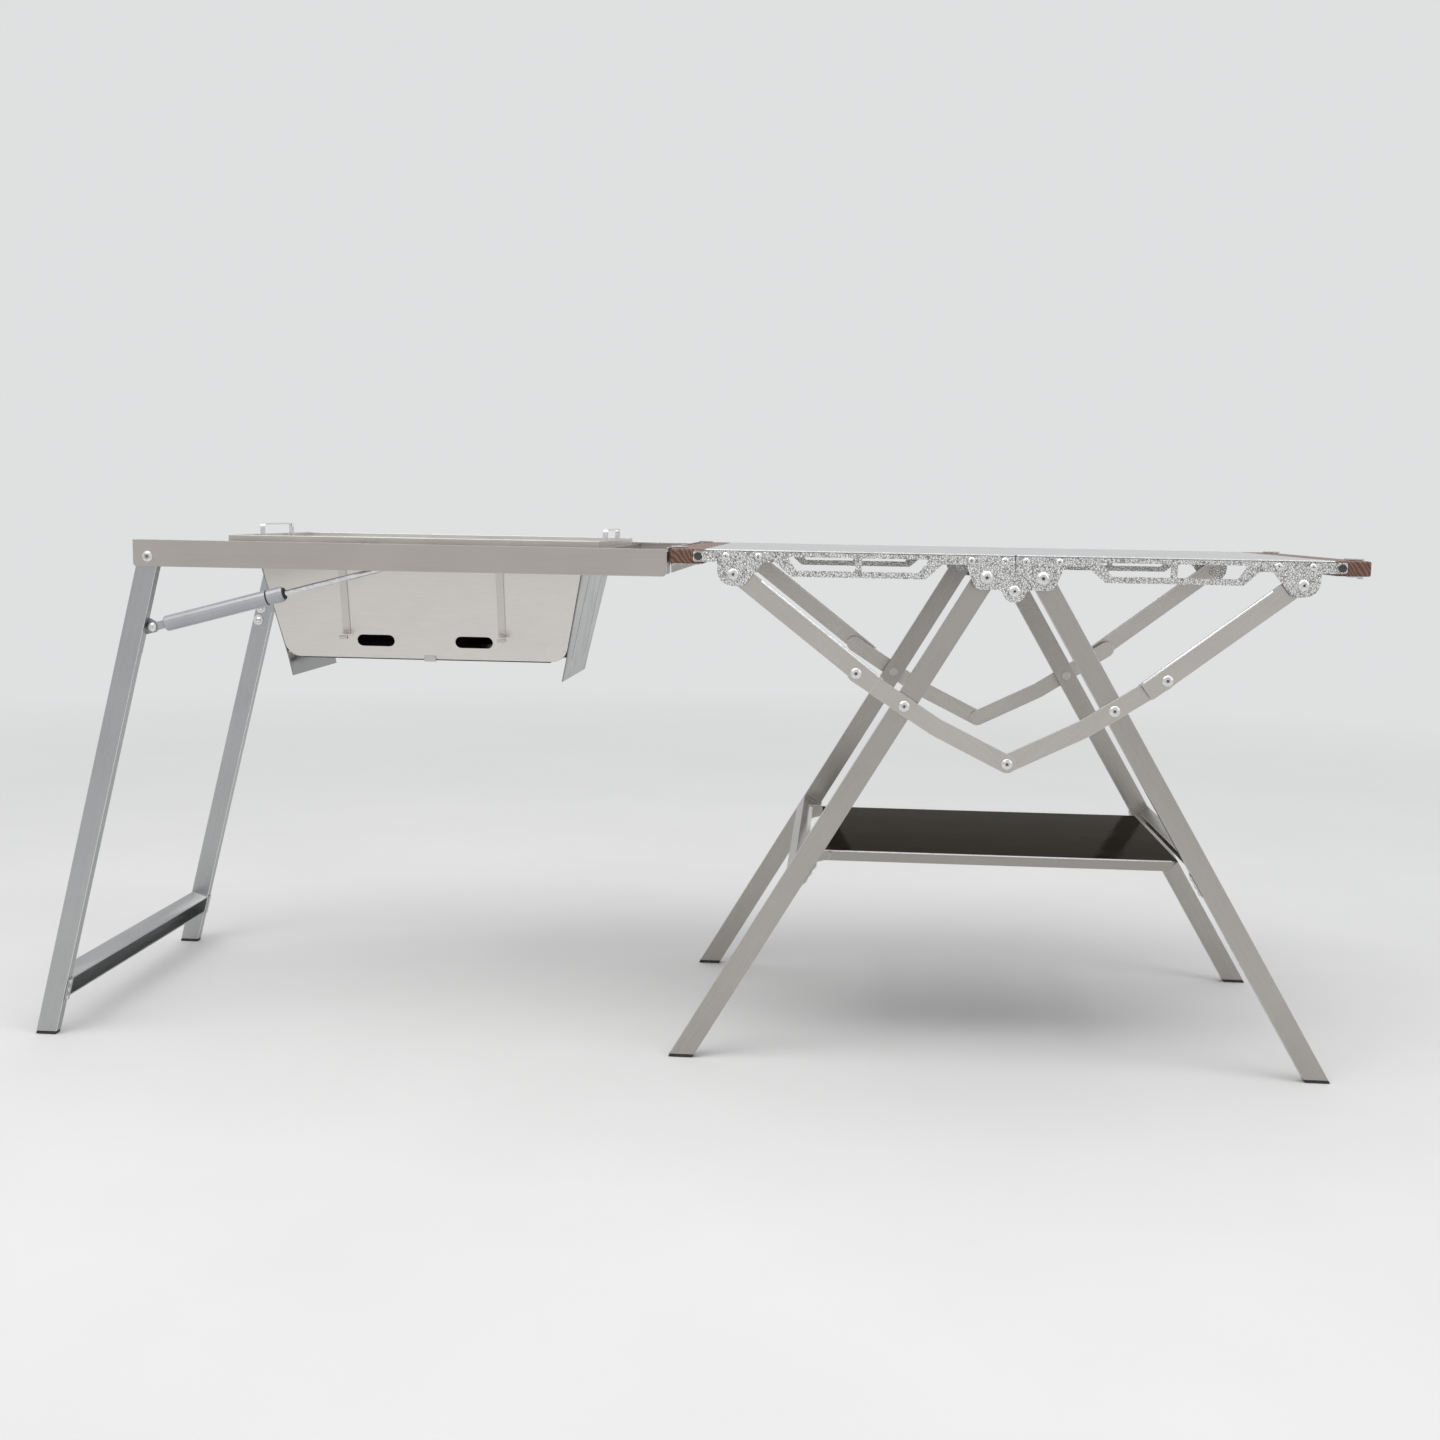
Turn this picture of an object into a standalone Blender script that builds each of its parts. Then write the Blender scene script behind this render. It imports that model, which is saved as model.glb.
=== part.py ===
"""Folding steel grill table with a hung grill extension.

Lengths are written in millimetres and turned into metres where a mesh is made.
x runs from the extension (minus) to the folding table (plus), z runs up from the floor,
and y = 0 is the middle of the depth. A depth d is measured inward from the outer plane
of the side plates, and side is -1 for the front and +1 for the rear.
"""
import math

import bmesh
import bpy
from mathutils import Matrix, Vector

MM = 0.001
GAP = 0.3
FRONT = -1
REAR = 1
SIDES = {"front": FRONT, "rear": REAR}

# Folding table
HALF_DEPTH = 186.0
TOP_Z = 488.0
SHEET = 1.2
PLATE = 1.5
SHEET_END = 283.7
FOLD_SHORT = 1.2
FOLD_DROP = 10.0
FOLD_CUT = 4.8
FOLD_CUT_X = (70.0, 215.0)
FOLD_START = 3.0
SEAM = 0.5
TONGUE_END = 294.0
TONGUE_DROP = 10.0
BAND_Z = 464.3
GUSSET_Z = 456.0
LOBE_R = 14.0
CENTRE_LOBE_R = 10.3
SEAM_R = 15.0

# Pivots of the fold, measured from the table's middle line on the floor
PIVOT_A = (25.3, 467.0)
PIVOT_C = (0.0, 455.0)
PIVOT_E = (256.7, 465.5)
PIVOT_M = (96.3, 346.4)
PIVOT_D = (0.0, 294.8)
LINK_TO_K_ANGLE = math.radians(33.3)
LINK_BEND = (67.0, 328.0)
TOP_TURN = math.radians(88.5)

# Depth of each layer of the fold
LOBE_LAYER = (1.8, 3.3)
BRACE_LAYER = (3.4, 4.6)
BRACE_FLANGE_D = 6.9
LEFT_LINK_LAYER = (7.2, 9.2)
RIGHT_LINK_LAYER = (9.5, 11.5)
LEG_LAYER = (11.8, 21.8)

# Legs
LEG_W = 20.0
LEG_WALL = 1.2
LEG_FOOT_X = 300.5
FOOT_PAD = 3.0
FOOT_PLUG = 16.0
PIN_R = 3.0
HEAD_R = 4.8
BIG_HEAD_R = 5.5

# Braces and links
BRACE_UP = 12.0
BRACE_DOWN = 6.5
BRACE_TAIL = 21.0
BRACE_LEAD = 7.0
LINK_W = 17.0

# Crossbars and tray
CROSSBAR_ALONG = (210.5, 227.5)
CROSSBAR_OUT = -10.0
CROSSBAR_IN = 2.0
CROSSBAR_T = 1.5
TAB_T = 0.9
TAB_LENGTH = 24.0
TRAY_TOP_Z = 197.0
TRAY_LENGTH = 344.0
TRAY_HALF_DEPTH = 122.0
TRAY_LIP = 10.0
TRAY_T = 1.2
TRAY_HINGE_R = 3.0
TRAY_HINGE = (-165.0, 192.5)

# Wood bars and their clamps
WOOD_X = (284.0, 315.5)
WOOD_Z = (474.4, 488.0)
CLAMP_Y = (HALF_DEPTH - 37.0, 14.0)
CLAMP_T = 1.5
CLAMP_TOP = 13.0
CLAMP_BOTTOM = 10.0
STUD_R = 5.35
STUD_Z = 482.6
STUD_NECK_R = 3.0

# Extension frame
RAIL_X = (-825.3, -319.0)
RAIL_Z = (462.0, 487.0)
RAIL_T = 1.5
RAIL_FLANGE = 12.0
EXT_PIVOT = (-811.2, 471.4)
EXT_FOOT_X = -928.0
EXT_LEG_LAYER = (1.8, 11.8)
EXT_BAR_R = 436.0
EXT_BAR_W = 20.0
EXT_BAR_T = 1.5
EXT_FOLD = math.radians(92.0)
HOOK_X = (-319.8, -318.5)
HOOK_Z = (464.0, 488.6)

# Gas springs
GAS_EYE = (16.0, 65.5)
GAS_STUD = (-562.7, 470.7)
GAS_D = 10.0
CYLINDER_R = 7.5
CYLINDER_START = 12.5
CYLINDER_LENGTH = 120.0
ROD_R = 2.75

# Grill
GRILL_X = -573.0
GRILL_L = 365.0
GRILL_W = 250.0
GRILL_Z = (474.0, 492.0)
GRILL_T = 1.5
RIM_Z = 485.0
GRATE_T = 1.5
GRATE_ROWS = 14
GRATE_PITCH = 15.0
GRATE_SLOT = (100.0, 6.0)
GRATE_COLUMNS = (46.0, 219.0)
HANDLE_LENGTH = 90.0
HANDLE_RISE = 11.0
HANDLE_T = 1.5
HANDLE_W = 5.0
BOX_TOP_Z = RIM_Z - GAP
BOX_LOW_Z = 370.0
BOX_FOOT_Z = 350.0
BOX_SHOULDER = 17.0
BOX_TAPER = 24.0
BOX_HALF_L = (GRILL_L / 2 - BOX_SHOULDER, GRILL_L / 2 - BOX_SHOULDER - BOX_TAPER)
BOX_HALF_W = (100.0, 74.0)
BOX_T = 1.2
VENT = (38.0, 11.5, 50.0, 388.0)
STRAP_X = 79.0
STRAP_W = 7.5
STRAP_LOW_Z = 394.0
SUPPORT_Z = (474.0, 485.0)
LEDGE = 11.0

# The frame's origin is below the middle of the whole length
STUD_OUT = 323.0
EXT_LEAN = math.atan2(EXT_PIVOT[0] - EXT_FOOT_X, EXT_PIVOT[1])
FOOT_HALF_X = LEG_W / 2 / math.cos(EXT_LEAN)
CENTRE_X = (EXT_FOOT_X - FOOT_HALF_X + STUD_OUT) / 2

for stale in list(bpy.data.objects):
    bpy.data.objects.remove(stale, do_unlink=True)


def material(name, colour, metallic, roughness):
    """A Principled material with the part's colour."""
    found = bpy.data.materials.get(name)
    if found:
        return found
    made = bpy.data.materials.new(name)
    made.use_nodes = True
    made.diffuse_color = (*colour, 1)
    shader = made.node_tree.nodes["Principled BSDF"]
    shader.inputs["Base Color"].default_value = (*colour, 1)
    shader.inputs["Metallic"].default_value = metallic
    shader.inputs["Roughness"].default_value = roughness
    return made


STEEL = material("brushed_steel", (0.58, 0.55, 0.52), 1.0, 0.32)
PALE_STEEL = material("pale_steel", (0.62, 0.63, 0.64), 1.0, 0.3)
HAMMERED = material("hammered_steel", (0.66, 0.66, 0.66), 1.0, 0.28)
MIRROR = material("mirror_steel", (0.42, 0.42, 0.42), 1.0, 0.12)
SATIN = material("satin_steel", (0.62, 0.6, 0.57), 1.0, 0.38)
WALNUT = material("walnut", (0.22, 0.09, 0.05), 0.0, 0.5)
RUBBER = material("black_rubber", (0.02, 0.02, 0.02), 0.0, 0.7)
CYLINDER_GREY = material("cylinder_grey", (0.6, 0.63, 0.68), 0.6, 0.35)


def to_world(x, y, z):
    """A point in millimetres, as metres in the part's frame."""
    return Vector(((x - CENTRE_X) * MM, y * MM, z * MM))


def solid(bm, name="solid"):
    """A scene object from a bmesh in metres, with its faces pointing out."""
    bmesh.ops.recalc_face_normals(bm, faces=bm.faces)
    mesh = bpy.data.meshes.new(name)
    bm.to_mesh(mesh)
    bm.free()
    made = bpy.data.objects.new(name, mesh)
    bpy.context.scene.collection.objects.link(made)
    return made


def side_y(depth, side):
    """The y of a depth measured inward from the outer plane of one side."""
    return side * (HALF_DEPTH - depth)


def rounded(corners, steps=4):
    """An outline from (x, z, radius) corners, with each corner turned into an arc."""
    points = []
    count = len(corners)
    for index, (x, z, radius) in enumerate(corners):
        here = Vector((x, z))
        if radius <= 0:
            points.append(here)
            continue
        back = (Vector(corners[index - 1][:2]) - here).normalized()
        ahead = (Vector(corners[(index + 1) % count][:2]) - here).normalized()
        half = back.angle(ahead) / 2
        centre = here + (back + ahead).normalized() * (radius / math.sin(half))
        first = here + back * (radius / math.tan(half)) - centre
        turn = first.angle_signed(here + ahead * (radius / math.tan(half)) - centre)
        for step in range(steps + 1):
            points.append(centre + Matrix.Rotation(-turn * step / steps, 2) @ first)
    return points


def arc(centre, radius, start, end, steps):
    """Points on a circle in x and z, from one angle in degrees to another."""
    angles = [math.radians(start + (end - start) * step / steps) for step in range(steps + 1)]
    return [Vector((centre[0] + radius * math.cos(a), centre[1] + radius * math.sin(a))) for a in angles]


def prism(outline, y0, y1):
    """A solid with an outline in x and z, between two y planes."""
    bm = bmesh.new()
    base = [bm.verts.new(to_world(p[0], y0, p[1])) for p in outline]
    face = bm.faces.new(base)
    grown = bmesh.ops.extrude_face_region(bm, geom=[face])
    moved = [v for v in grown["geom"] if isinstance(v, bmesh.types.BMVert)]
    bmesh.ops.translate(bm, verts=moved, vec=(0, (y1 - y0) * MM, 0))
    return solid(bm)


def layer(outline, depths, side):
    """A prism that fills one depth layer of one side."""
    return prism(outline, side_y(depths[0], side), side_y(depths[1], side))


def disc(centre, radius, depths, side, steps=12):
    """A round pin or hole along y."""
    ring = [(centre[0] + radius * math.cos(t), centre[1] + radius * math.sin(t))
            for t in (math.tau * (i + 0.5) / steps for i in range(steps))]
    return layer(ring, depths, side)


def block(x, y, z):
    """A box between pairs of x, y and z."""
    return prism([(x[0], z[0]), (x[1], z[0]), (x[1], z[1]), (x[0], z[1])], y[0], y[1])


def dome(centre, radius, height, depth, side, inward=False, steps=12):
    """A domed rivet head on the plane at a depth, rooted a little below it."""
    sense = 1 if inward else -1
    profile = [(radius, -0.3), (radius, 0.3 * height), (radius * 0.6, height)]
    bm = bmesh.new()
    rings = []
    for r, h in profile:
        y = side_y(depth + sense * h, side)
        rings.append([bm.verts.new(to_world(centre[0] + r * math.cos(t), y, centre[1] + r * math.sin(t)))
                      for t in (math.tau * (i + 0.2) / steps for i in range(steps))])
    for lower, upper in zip(rings, rings[1:]):
        for i in range(steps):
            bm.faces.new((lower[i], lower[(i + 1) % steps], upper[(i + 1) % steps], upper[i]))
    bm.faces.new(rings[0])
    bm.faces.new(rings[-1])
    return solid(bm)


def boolean(target, tools, operation):
    """Unites the tools with a solid, or cuts them out of it."""
    for tool in tools:
        modifier = target.modifiers.new("shape", "BOOLEAN")
        modifier.operation = operation
        modifier.solver = "EXACT"
        modifier.object = tool
        bpy.context.view_layer.update()
        shaped = target.evaluated_get(bpy.context.evaluated_depsgraph_get())
        mesh = bpy.data.meshes.new_from_object(shaped)
        target.modifiers.clear()
        target.data = mesh
        bpy.data.objects.remove(tool, do_unlink=True)
    return target


def fuse(target, *tools):
    return boolean(target, tools, "UNION")


def cut(target, *tools):
    return boolean(target, tools, "DIFFERENCE")


def finish(made, name, look, pivot=None):
    """Names a piece, gives it its material and puts its origin on its joint's axis."""
    made.name = name
    made.data.name = name
    made.data.materials.clear()
    made.data.materials.append(look)
    origin = to_world(pivot[0], 0, pivot[1]) if pivot else to_world(CENTRE_X, 0, 0)
    made.data.transform(Matrix.Translation(-origin))
    made.location = origin
    made.data.shade_smooth()
    made.data.set_sharp_from_angle(angle=math.radians(30))
    return made


def mirrored(point, hand):
    """A point of the right half, for hand +1, or its mirror image, for hand -1."""
    return (hand * point[0], point[1])


def along_leg(top, foot, along, across):
    """A point at a distance up a leg from its foot, and across it towards plus x."""
    up = (Vector(top) - Vector(foot)).normalized()
    right = Vector((up.y, -up.x))
    return Vector(foot) + up * along + right * across


def bar_outline(points, half, steps=6):
    """A bar with round ends along a line of points, mitred at each bend."""
    line = [Vector(p) for p in points]
    directions = [(b - a).normalized() for a, b in zip(line, line[1:])]
    left, right = [], []
    for index in range(1, len(line) - 1):
        before, after = directions[index - 1], directions[index]
        normal = (Vector((-before.y, before.x)) + Vector((-after.y, after.x))).normalized()
        reach = half / normal.dot(Vector((-before.y, before.x)))
        left.append(line[index] + normal * reach)
        right.append(line[index] - normal * reach)
    first = math.degrees(math.atan2(directions[0].y, directions[0].x))
    last = math.degrees(math.atan2(directions[-1].y, directions[-1].x))
    start = arc(line[0], half, first + 90, first + 270, steps)
    end = arc(line[-1], half, last - 90, last + 90, steps)
    return start + right + end + left[::-1]


def turned_x(profile, y, z, look_steps=14):
    """A round solid along x from (x, radius) stations, centred on y and z."""
    bm = bmesh.new()
    rings = []
    for x, radius in profile:
        rings.append([bm.verts.new(to_world(x, y + radius * math.cos(t), z + radius * math.sin(t)))
                      for t in (math.tau * i / look_steps for i in range(look_steps))])
    for lower, upper in zip(rings, rings[1:]):
        for i in range(look_steps):
            bm.faces.new((lower[i], lower[(i + 1) % look_steps], upper[(i + 1) % look_steps], upper[i]))
    bm.faces.new(rings[0])
    bm.faces.new(rings[-1])
    return solid(bm)


def turned_between(start, end, y, profile, steps=14):
    """A round solid along a line in x and z, from (distance, radius) stations."""
    axis = (Vector(end) - Vector(start)).normalized()
    across = Vector((-axis.y, axis.x))
    bm = bmesh.new()
    rings = []
    for distance, radius in profile:
        ring = []
        for i in range(steps):
            t = math.tau * i / steps
            spot = Vector(start) + axis * distance + across * (radius * math.cos(t))
            ring.append(bm.verts.new(to_world(spot.x, y + radius * math.sin(t), spot.y)))
        rings.append(ring)
    for lower, upper in zip(rings, rings[1:]):
        for i in range(steps):
            bm.faces.new((lower[i], lower[(i + 1) % steps], upper[(i + 1) % steps], upper[i]))
    bm.faces.new(rings[0])
    bm.faces.new(rings[-1])
    return solid(bm)


# The fold: where K lies so that the linkage closes when the legs stand upright

def turn(vector, angle):
    return Matrix.Rotation(angle, 2) @ Vector(vector)


def angle_of(vector):
    return math.atan2(vector[1], vector[0])


LEG_LEAN = math.atan2(LEG_FOOT_X - PIVOT_A[0], PIVOT_A[1])


def folded_state(link_reach):
    """The right half when folded: how far the loop is from closing, and the link and brace turns."""
    a, c, e, m, d = (Vector(p) for p in (PIVOT_A, PIVOT_C, PIVOT_E, PIVOT_M, PIVOT_D))
    k = m + Vector((math.cos(LINK_TO_K_ANGLE), math.sin(LINK_TO_K_ANGLE))) * link_reach
    a2 = c + turn(a - c, -TOP_TURN)
    e2 = c + turn(e - c, -TOP_TURN)
    m2 = a2 + turn(m - a, -LEG_LEAN)
    reach = (d - m).length
    d2 = Vector((c.x, m2.y - math.sqrt(reach ** 2 - (m2.x - c.x) ** 2)))
    link_turn = angle_of(d2 - m2) - angle_of(d - m)
    link_turn = (link_turn + math.pi) % math.tau - math.pi
    k2 = m2 + turn(k - m, link_turn)
    brace_turn = angle_of(k2 - e2) - angle_of(k - e)
    brace_turn = (brace_turn + math.pi) % math.tau - math.pi
    return (k2 - e2).length - (k - e).length, k, link_turn, brace_turn


def close_loop(low=45.0, high=65.0):
    """The link's reach from M to K that closes the folded loop, by halving."""
    for _ in range(60):
        middle = (low + high) / 2
        if folded_state(low)[0] * folded_state(middle)[0] <= 0:
            high = middle
        else:
            low = middle
    return (low + high) / 2


LOOP_ERROR, PIVOT_K, LINK_TURN, BRACE_TURN = folded_state(close_loop())
MAIN_FOLD = TOP_TURN - LEG_LEAN


def leg_outline(top, foot, low_z, half):
    """A leg from a level cut at its foot to a round end about its top pivot."""
    up = (Vector(top) - Vector(foot)).normalized()
    right = Vector((up.y, -up.x))
    points = []
    for sign in (-1, 1):
        edge = Vector(foot) + right * (half * sign)
        points.append(edge + up * ((low_z - edge.y) / up.y))
    lean = math.degrees(angle_of(up))
    return [points[0], points[1]] + arc(top, half, lean - 90, lean + 90, 8)


def tube_leg(top, foot, depths, side, holes):
    """An oblong tube with open ends, with its pivot holes bored through."""
    made = layer(leg_outline(top, foot, FOOT_PAD + GAP, LEG_W / 2), depths, side)
    inner = LEG_W / 2 - LEG_WALL
    length = (Vector(top) - Vector(foot)).length + LEG_W
    corners = [along_leg(top, foot, a, w) for a, w in ((-LEG_W, -inner), (-LEG_W, inner), (length, inner),
                                                       (length, -inner))]
    cut(made, layer(corners, (depths[0] + LEG_WALL, depths[1] - LEG_WALL), side))
    for centre, radius in holes:
        cut(made, disc(centre, radius, (depths[0] - 1, depths[1] + 1), side))
    return made


def rubber_foot(top, foot, depths, side):
    """A thin pad under a leg with a plug up inside the tube."""
    half = LEG_W / 2
    pad = [along_leg(top, foot, 0, -half), along_leg(top, foot, 0, half)]
    up = (Vector(top) - Vector(foot)).normalized()
    level = [Vector((p.x - up.x / up.y * p.y, 0)) for p in pad]
    raised = [p + up * (FOOT_PAD / up.y) for p in level]
    made = layer([level[0], level[1], raised[1], raised[0]], depths, side)
    inner = half - LEG_WALL - GAP
    start = FOOT_PAD / up.y
    plug = [along_leg(top, foot, a, w) for a, w in ((start - 0.2, -inner), (start - 0.2, inner),
                                                    (FOOT_PLUG, inner), (FOOT_PLUG, -inner))]
    plug[0].y = plug[1].y = FOOT_PAD - 0.5
    inside = (depths[0] + LEG_WALL + GAP, depths[1] - LEG_WALL - GAP)
    return fuse(made, layer(plug, inside, side))


# Folding table

def hand_word(hand):
    return "right" if hand > 0 else "left"


def build_legs(hand):
    """One leg frame: two tube legs, their feet and the crossbar between them."""
    word = hand_word(hand)
    top = mirrored(PIVOT_A, hand)
    foot = (hand * LEG_FOOT_X, 0.0)
    origin = top if hand > 0 else None
    for side_word, side in SIDES.items():
        holes = ((top, PIN_R + 1.0), (mirrored(PIVOT_M, hand), PIN_R + GAP))
        leg = tube_leg(top, foot, LEG_LAYER, side, holes)
        finish(leg, f"{word}_leg_{side_word}", STEEL, origin)
        finish(rubber_foot(top, foot, LEG_LAYER, side), f"{word}_foot_{side_word}", RUBBER, origin)
    finish(crossbar(hand, top, foot), f"{word}_crossbar", STEEL, origin)


def channel_bar(spot, low, high, across, end_y):
    """A channel between two legs, with end plates and tabs riveted to the legs' facing edges."""
    out, into = across
    wall = CROSSBAR_T
    profile = [(low, out), (low, into), (low + wall, into), (low + wall, out + wall),
               (high - wall, out + wall), (high - wall, into), (high, into), (high, out)]
    made = prism([spot(*p) for p in profile], 0.6 - end_y, end_y - 0.6)
    face = LEG_W / 2 + GAP
    tab_low, tab_high = low - 3, low - 3 + TAB_LENGTH
    for side in (FRONT, REAR):
        plate = [(tab_low, out + 0.4), (tab_low, face + 0.6), (tab_high, face + 0.6), (tab_high, out + 0.4)]
        fuse(made, prism([spot(*p) for p in plate], side * (end_y - CROSSBAR_T), side * end_y))
        tab = [(tab_low + 0.5, face), (tab_low + 0.5, face + TAB_T), (tab_high - 0.5, face + TAB_T),
               (tab_high - 0.5, face)]
        fuse(made, prism([spot(*p) for p in tab], side * (end_y - 1), side * (end_y + 9)))
        for along in (tab_low + 4, tab_low + 12, tab_low + 20):
            head = [(along - 1.6, face + 0.3), (along - 1.2, face + TAB_T + 0.5), (along + 1.2, face + TAB_T + 0.5),
                    (along + 1.6, face + 0.3)]
            fuse(made, prism([spot(*p) for p in head], side * (end_y + 3.5), side * (end_y + 6.7)))
    return made


def crossbar(hand, top, foot):
    """The table's crossbar; the left one also carries the tray's hinge lugs."""
    def spot(along, across):
        return along_leg(top, foot, along, -hand * across)

    low, high = CROSSBAR_ALONG
    end_y = HALF_DEPTH - LEG_LAYER[1] - GAP
    made = channel_bar(spot, low, high, (CROSSBAR_OUT, CROSSBAR_IN), end_y)
    if hand < 0:
        lug = [spot(low + 1, CROSSBAR_OUT + 2), spot(low + 1, CROSSBAR_IN), *arc(TRAY_HINGE, 4.5, -75, 115, 6),
               spot(high - 2, CROSSBAR_OUT + 2)]
        for side in (FRONT, REAR):
            y = side * (TRAY_HALF_DEPTH + 1)
            fuse(made, prism(lug, y, y + side * 2))
            ring = arc(TRAY_HINGE, TRAY_HINGE_R - GAP, 0, 330, 11)
            fuse(made, prism(ring, y + side * 1.5, y - side * 3))
    return made


def build_tray():
    """The lower tray: a plate with folded lips, hinged at the left crossbar."""
    half = TRAY_LENGTH / 2
    low = TRAY_TOP_Z - TRAY_T
    made = block((-half, half), (-TRAY_HALF_DEPTH, TRAY_HALF_DEPTH), (low, TRAY_TOP_Z))
    lip = [(-half - 2, TRAY_TOP_Z), (half, TRAY_TOP_Z), (half - 9, TRAY_TOP_Z - TRAY_LIP),
           (-half + 4, TRAY_TOP_Z - TRAY_LIP)]
    for side in (FRONT, REAR):
        fuse(made, prism(lip, side * (TRAY_HALF_DEPTH - TRAY_T), side * TRAY_HALF_DEPTH))
        hole = arc(TRAY_HINGE, TRAY_HINGE_R, 0, 330, 11)
        cut(made, prism(hole, side * (TRAY_HALF_DEPTH - 3), side * (TRAY_HALF_DEPTH + 1)))
    finish(made, "lower_tray", MIRROR, TRAY_HINGE)


def centre_lobe(fillet=5.0):
    """The lobe's lower edge round the centre pivot, from right to left, with its two fillets."""
    drop = GUSSET_Z - PIVOT_C[1] - fillet
    reach = CENTRE_LOBE_R + fillet
    aside = math.sqrt(reach ** 2 - drop ** 2)
    dip = math.degrees(math.atan2(-drop, aside))
    right = arc((aside, GUSSET_Z - fillet), fillet, 90, 180 - dip, 4)
    left = arc((-aside, GUSSET_Z - fillet), fillet, dip, 90, 4)
    return right + arc(PIVOT_C, CENTRE_LOBE_R, -dip, dip - 180, 12)[1:-1] + left


def plate_outline(hand):
    """The side plate's edge: tongue, outer lobe, band with slanted ends and centre gusset."""
    top = TOP_Z - SHEET - GAP
    corners = [(SEAM, top, 0), (TONGUE_END, top, 1.5), (TONGUE_END, top - TONGUE_DROP, 1.5),
               (271.6, top - TONGUE_DROP, 1.0), (271.6, 454.7, LOBE_R), (247.0, 454.7, 8), (229.5, 477.0, 2),
               (217.8, 477.0, 2), (203.5, BAND_Z, 3), (81.0, BAND_Z, 3), (65.0, 478.5, 2), (44.5, 478.5, 2),
               (35.2, GUSSET_Z, 8), (18.0, GUSSET_Z, 0)]
    points = rounded(corners)
    radius = SEAM_R if hand < 0 else SEAM_R + SEAM
    low = math.degrees(math.asin((GUSSET_Z - PIVOT_C[1]) / radius))
    high = math.degrees(math.acos(SEAM / radius))
    if hand < 0:
        points += centre_lobe() + arc(PIVOT_C, radius, 180 - low, high, 16)
    else:
        points += arc(PIVOT_C, radius, low, high, 12)
    return [mirrored(p, hand) for p in points]


def build_side_plate(hand, side_word, side):
    """A hammered side plate with its two windows, rivets and pivot pins."""
    word = hand_word(hand)
    skin = (0.0, PLATE)
    made = layer(plate_outline(hand), skin, side)
    for window in (((207, 482.3), (145, 482.3), (145, 470), (199, 470)),
                   ((139, 482.3), (77.5, 482.3), (87, 470), (139, 470))):
        corners = rounded([(x, z, 1.2) for x, z in window], 2)
        cut(made, layer([mirrored(p, hand) for p in corners], (-1, PLATE + 1), side))
    centre = PIVOT_C
    if hand < 0:
        fuse(made, disc(centre, PIN_R - GAP, (PLATE - 0.3, LOBE_LAYER[1] + 0.5), side))
        fuse(made, disc(centre, HEAD_R, (LOBE_LAYER[1] + GAP, LOBE_LAYER[1] + 1.5), side))
        fuse(made, dome(centre, 4.5, 1.4, 0.0, side))
    else:
        outline = centre_lobe() + arc(centre, SEAM_R, 176, 95, 8) + arc(centre, SEAM_R + 6, 87, 5, 10)
        bridge = arc(centre, SEAM_R + 5.5, 7, 85, 10) + arc(centre, SEAM_R + 1, 85, 7, 10)
        lobe = layer(outline, LOBE_LAYER, side)
        fuse(lobe, layer(bridge, (0.6, LOBE_LAYER[0] + 0.5), side))
        cut(lobe, disc(centre, PIN_R, (0, 6), side))
        fuse(made, lobe)
    pin_a = mirrored(PIVOT_A, hand)
    fuse(made, disc(pin_a, 7.0, (PLATE - 0.4, LEG_LAYER[0] - GAP), side))
    fuse(made, disc(pin_a, PIN_R + 0.7, (LEG_LAYER[0] - 1, LEG_LAYER[1] + 0.6), side))
    fuse(made, disc(pin_a, 6.0, (LEG_LAYER[1] + GAP, LEG_LAYER[1] + 1.6), side))
    fuse(made, dome(pin_a, BIG_HEAD_R, 2.4, 0.0, side))
    pin_e = mirrored(PIVOT_E, hand)
    fuse(made, disc(pin_e, 7.0, (PLATE - 0.4, BRACE_LAYER[0] - GAP), side))
    fuse(made, disc(pin_e, PIN_R, (PLATE + 0.4, BRACE_LAYER[1] + 0.6), side))
    fuse(made, disc(pin_e, HEAD_R, (BRACE_LAYER[1] + GAP, BRACE_LAYER[1] + 1.6), side))
    fuse(made, dome(pin_e, HEAD_R, 1.6, 0.0, side))
    for x in (264.0, 234.0, 39.5, 9.5):
        fuse(made, dome(mirrored((x, 482.0), hand), 3.2, 1.1, 0.0, side, steps=8))
    fuse(made, dome(mirrored((289.5, 481.5), hand), 3.0, 0.8, 0.0, side, steps=8))
    finish(made, f"{word}_side_plate_{side_word}", HAMMERED, mirrored(PIVOT_C, hand) if hand > 0 else pin_a)


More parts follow.
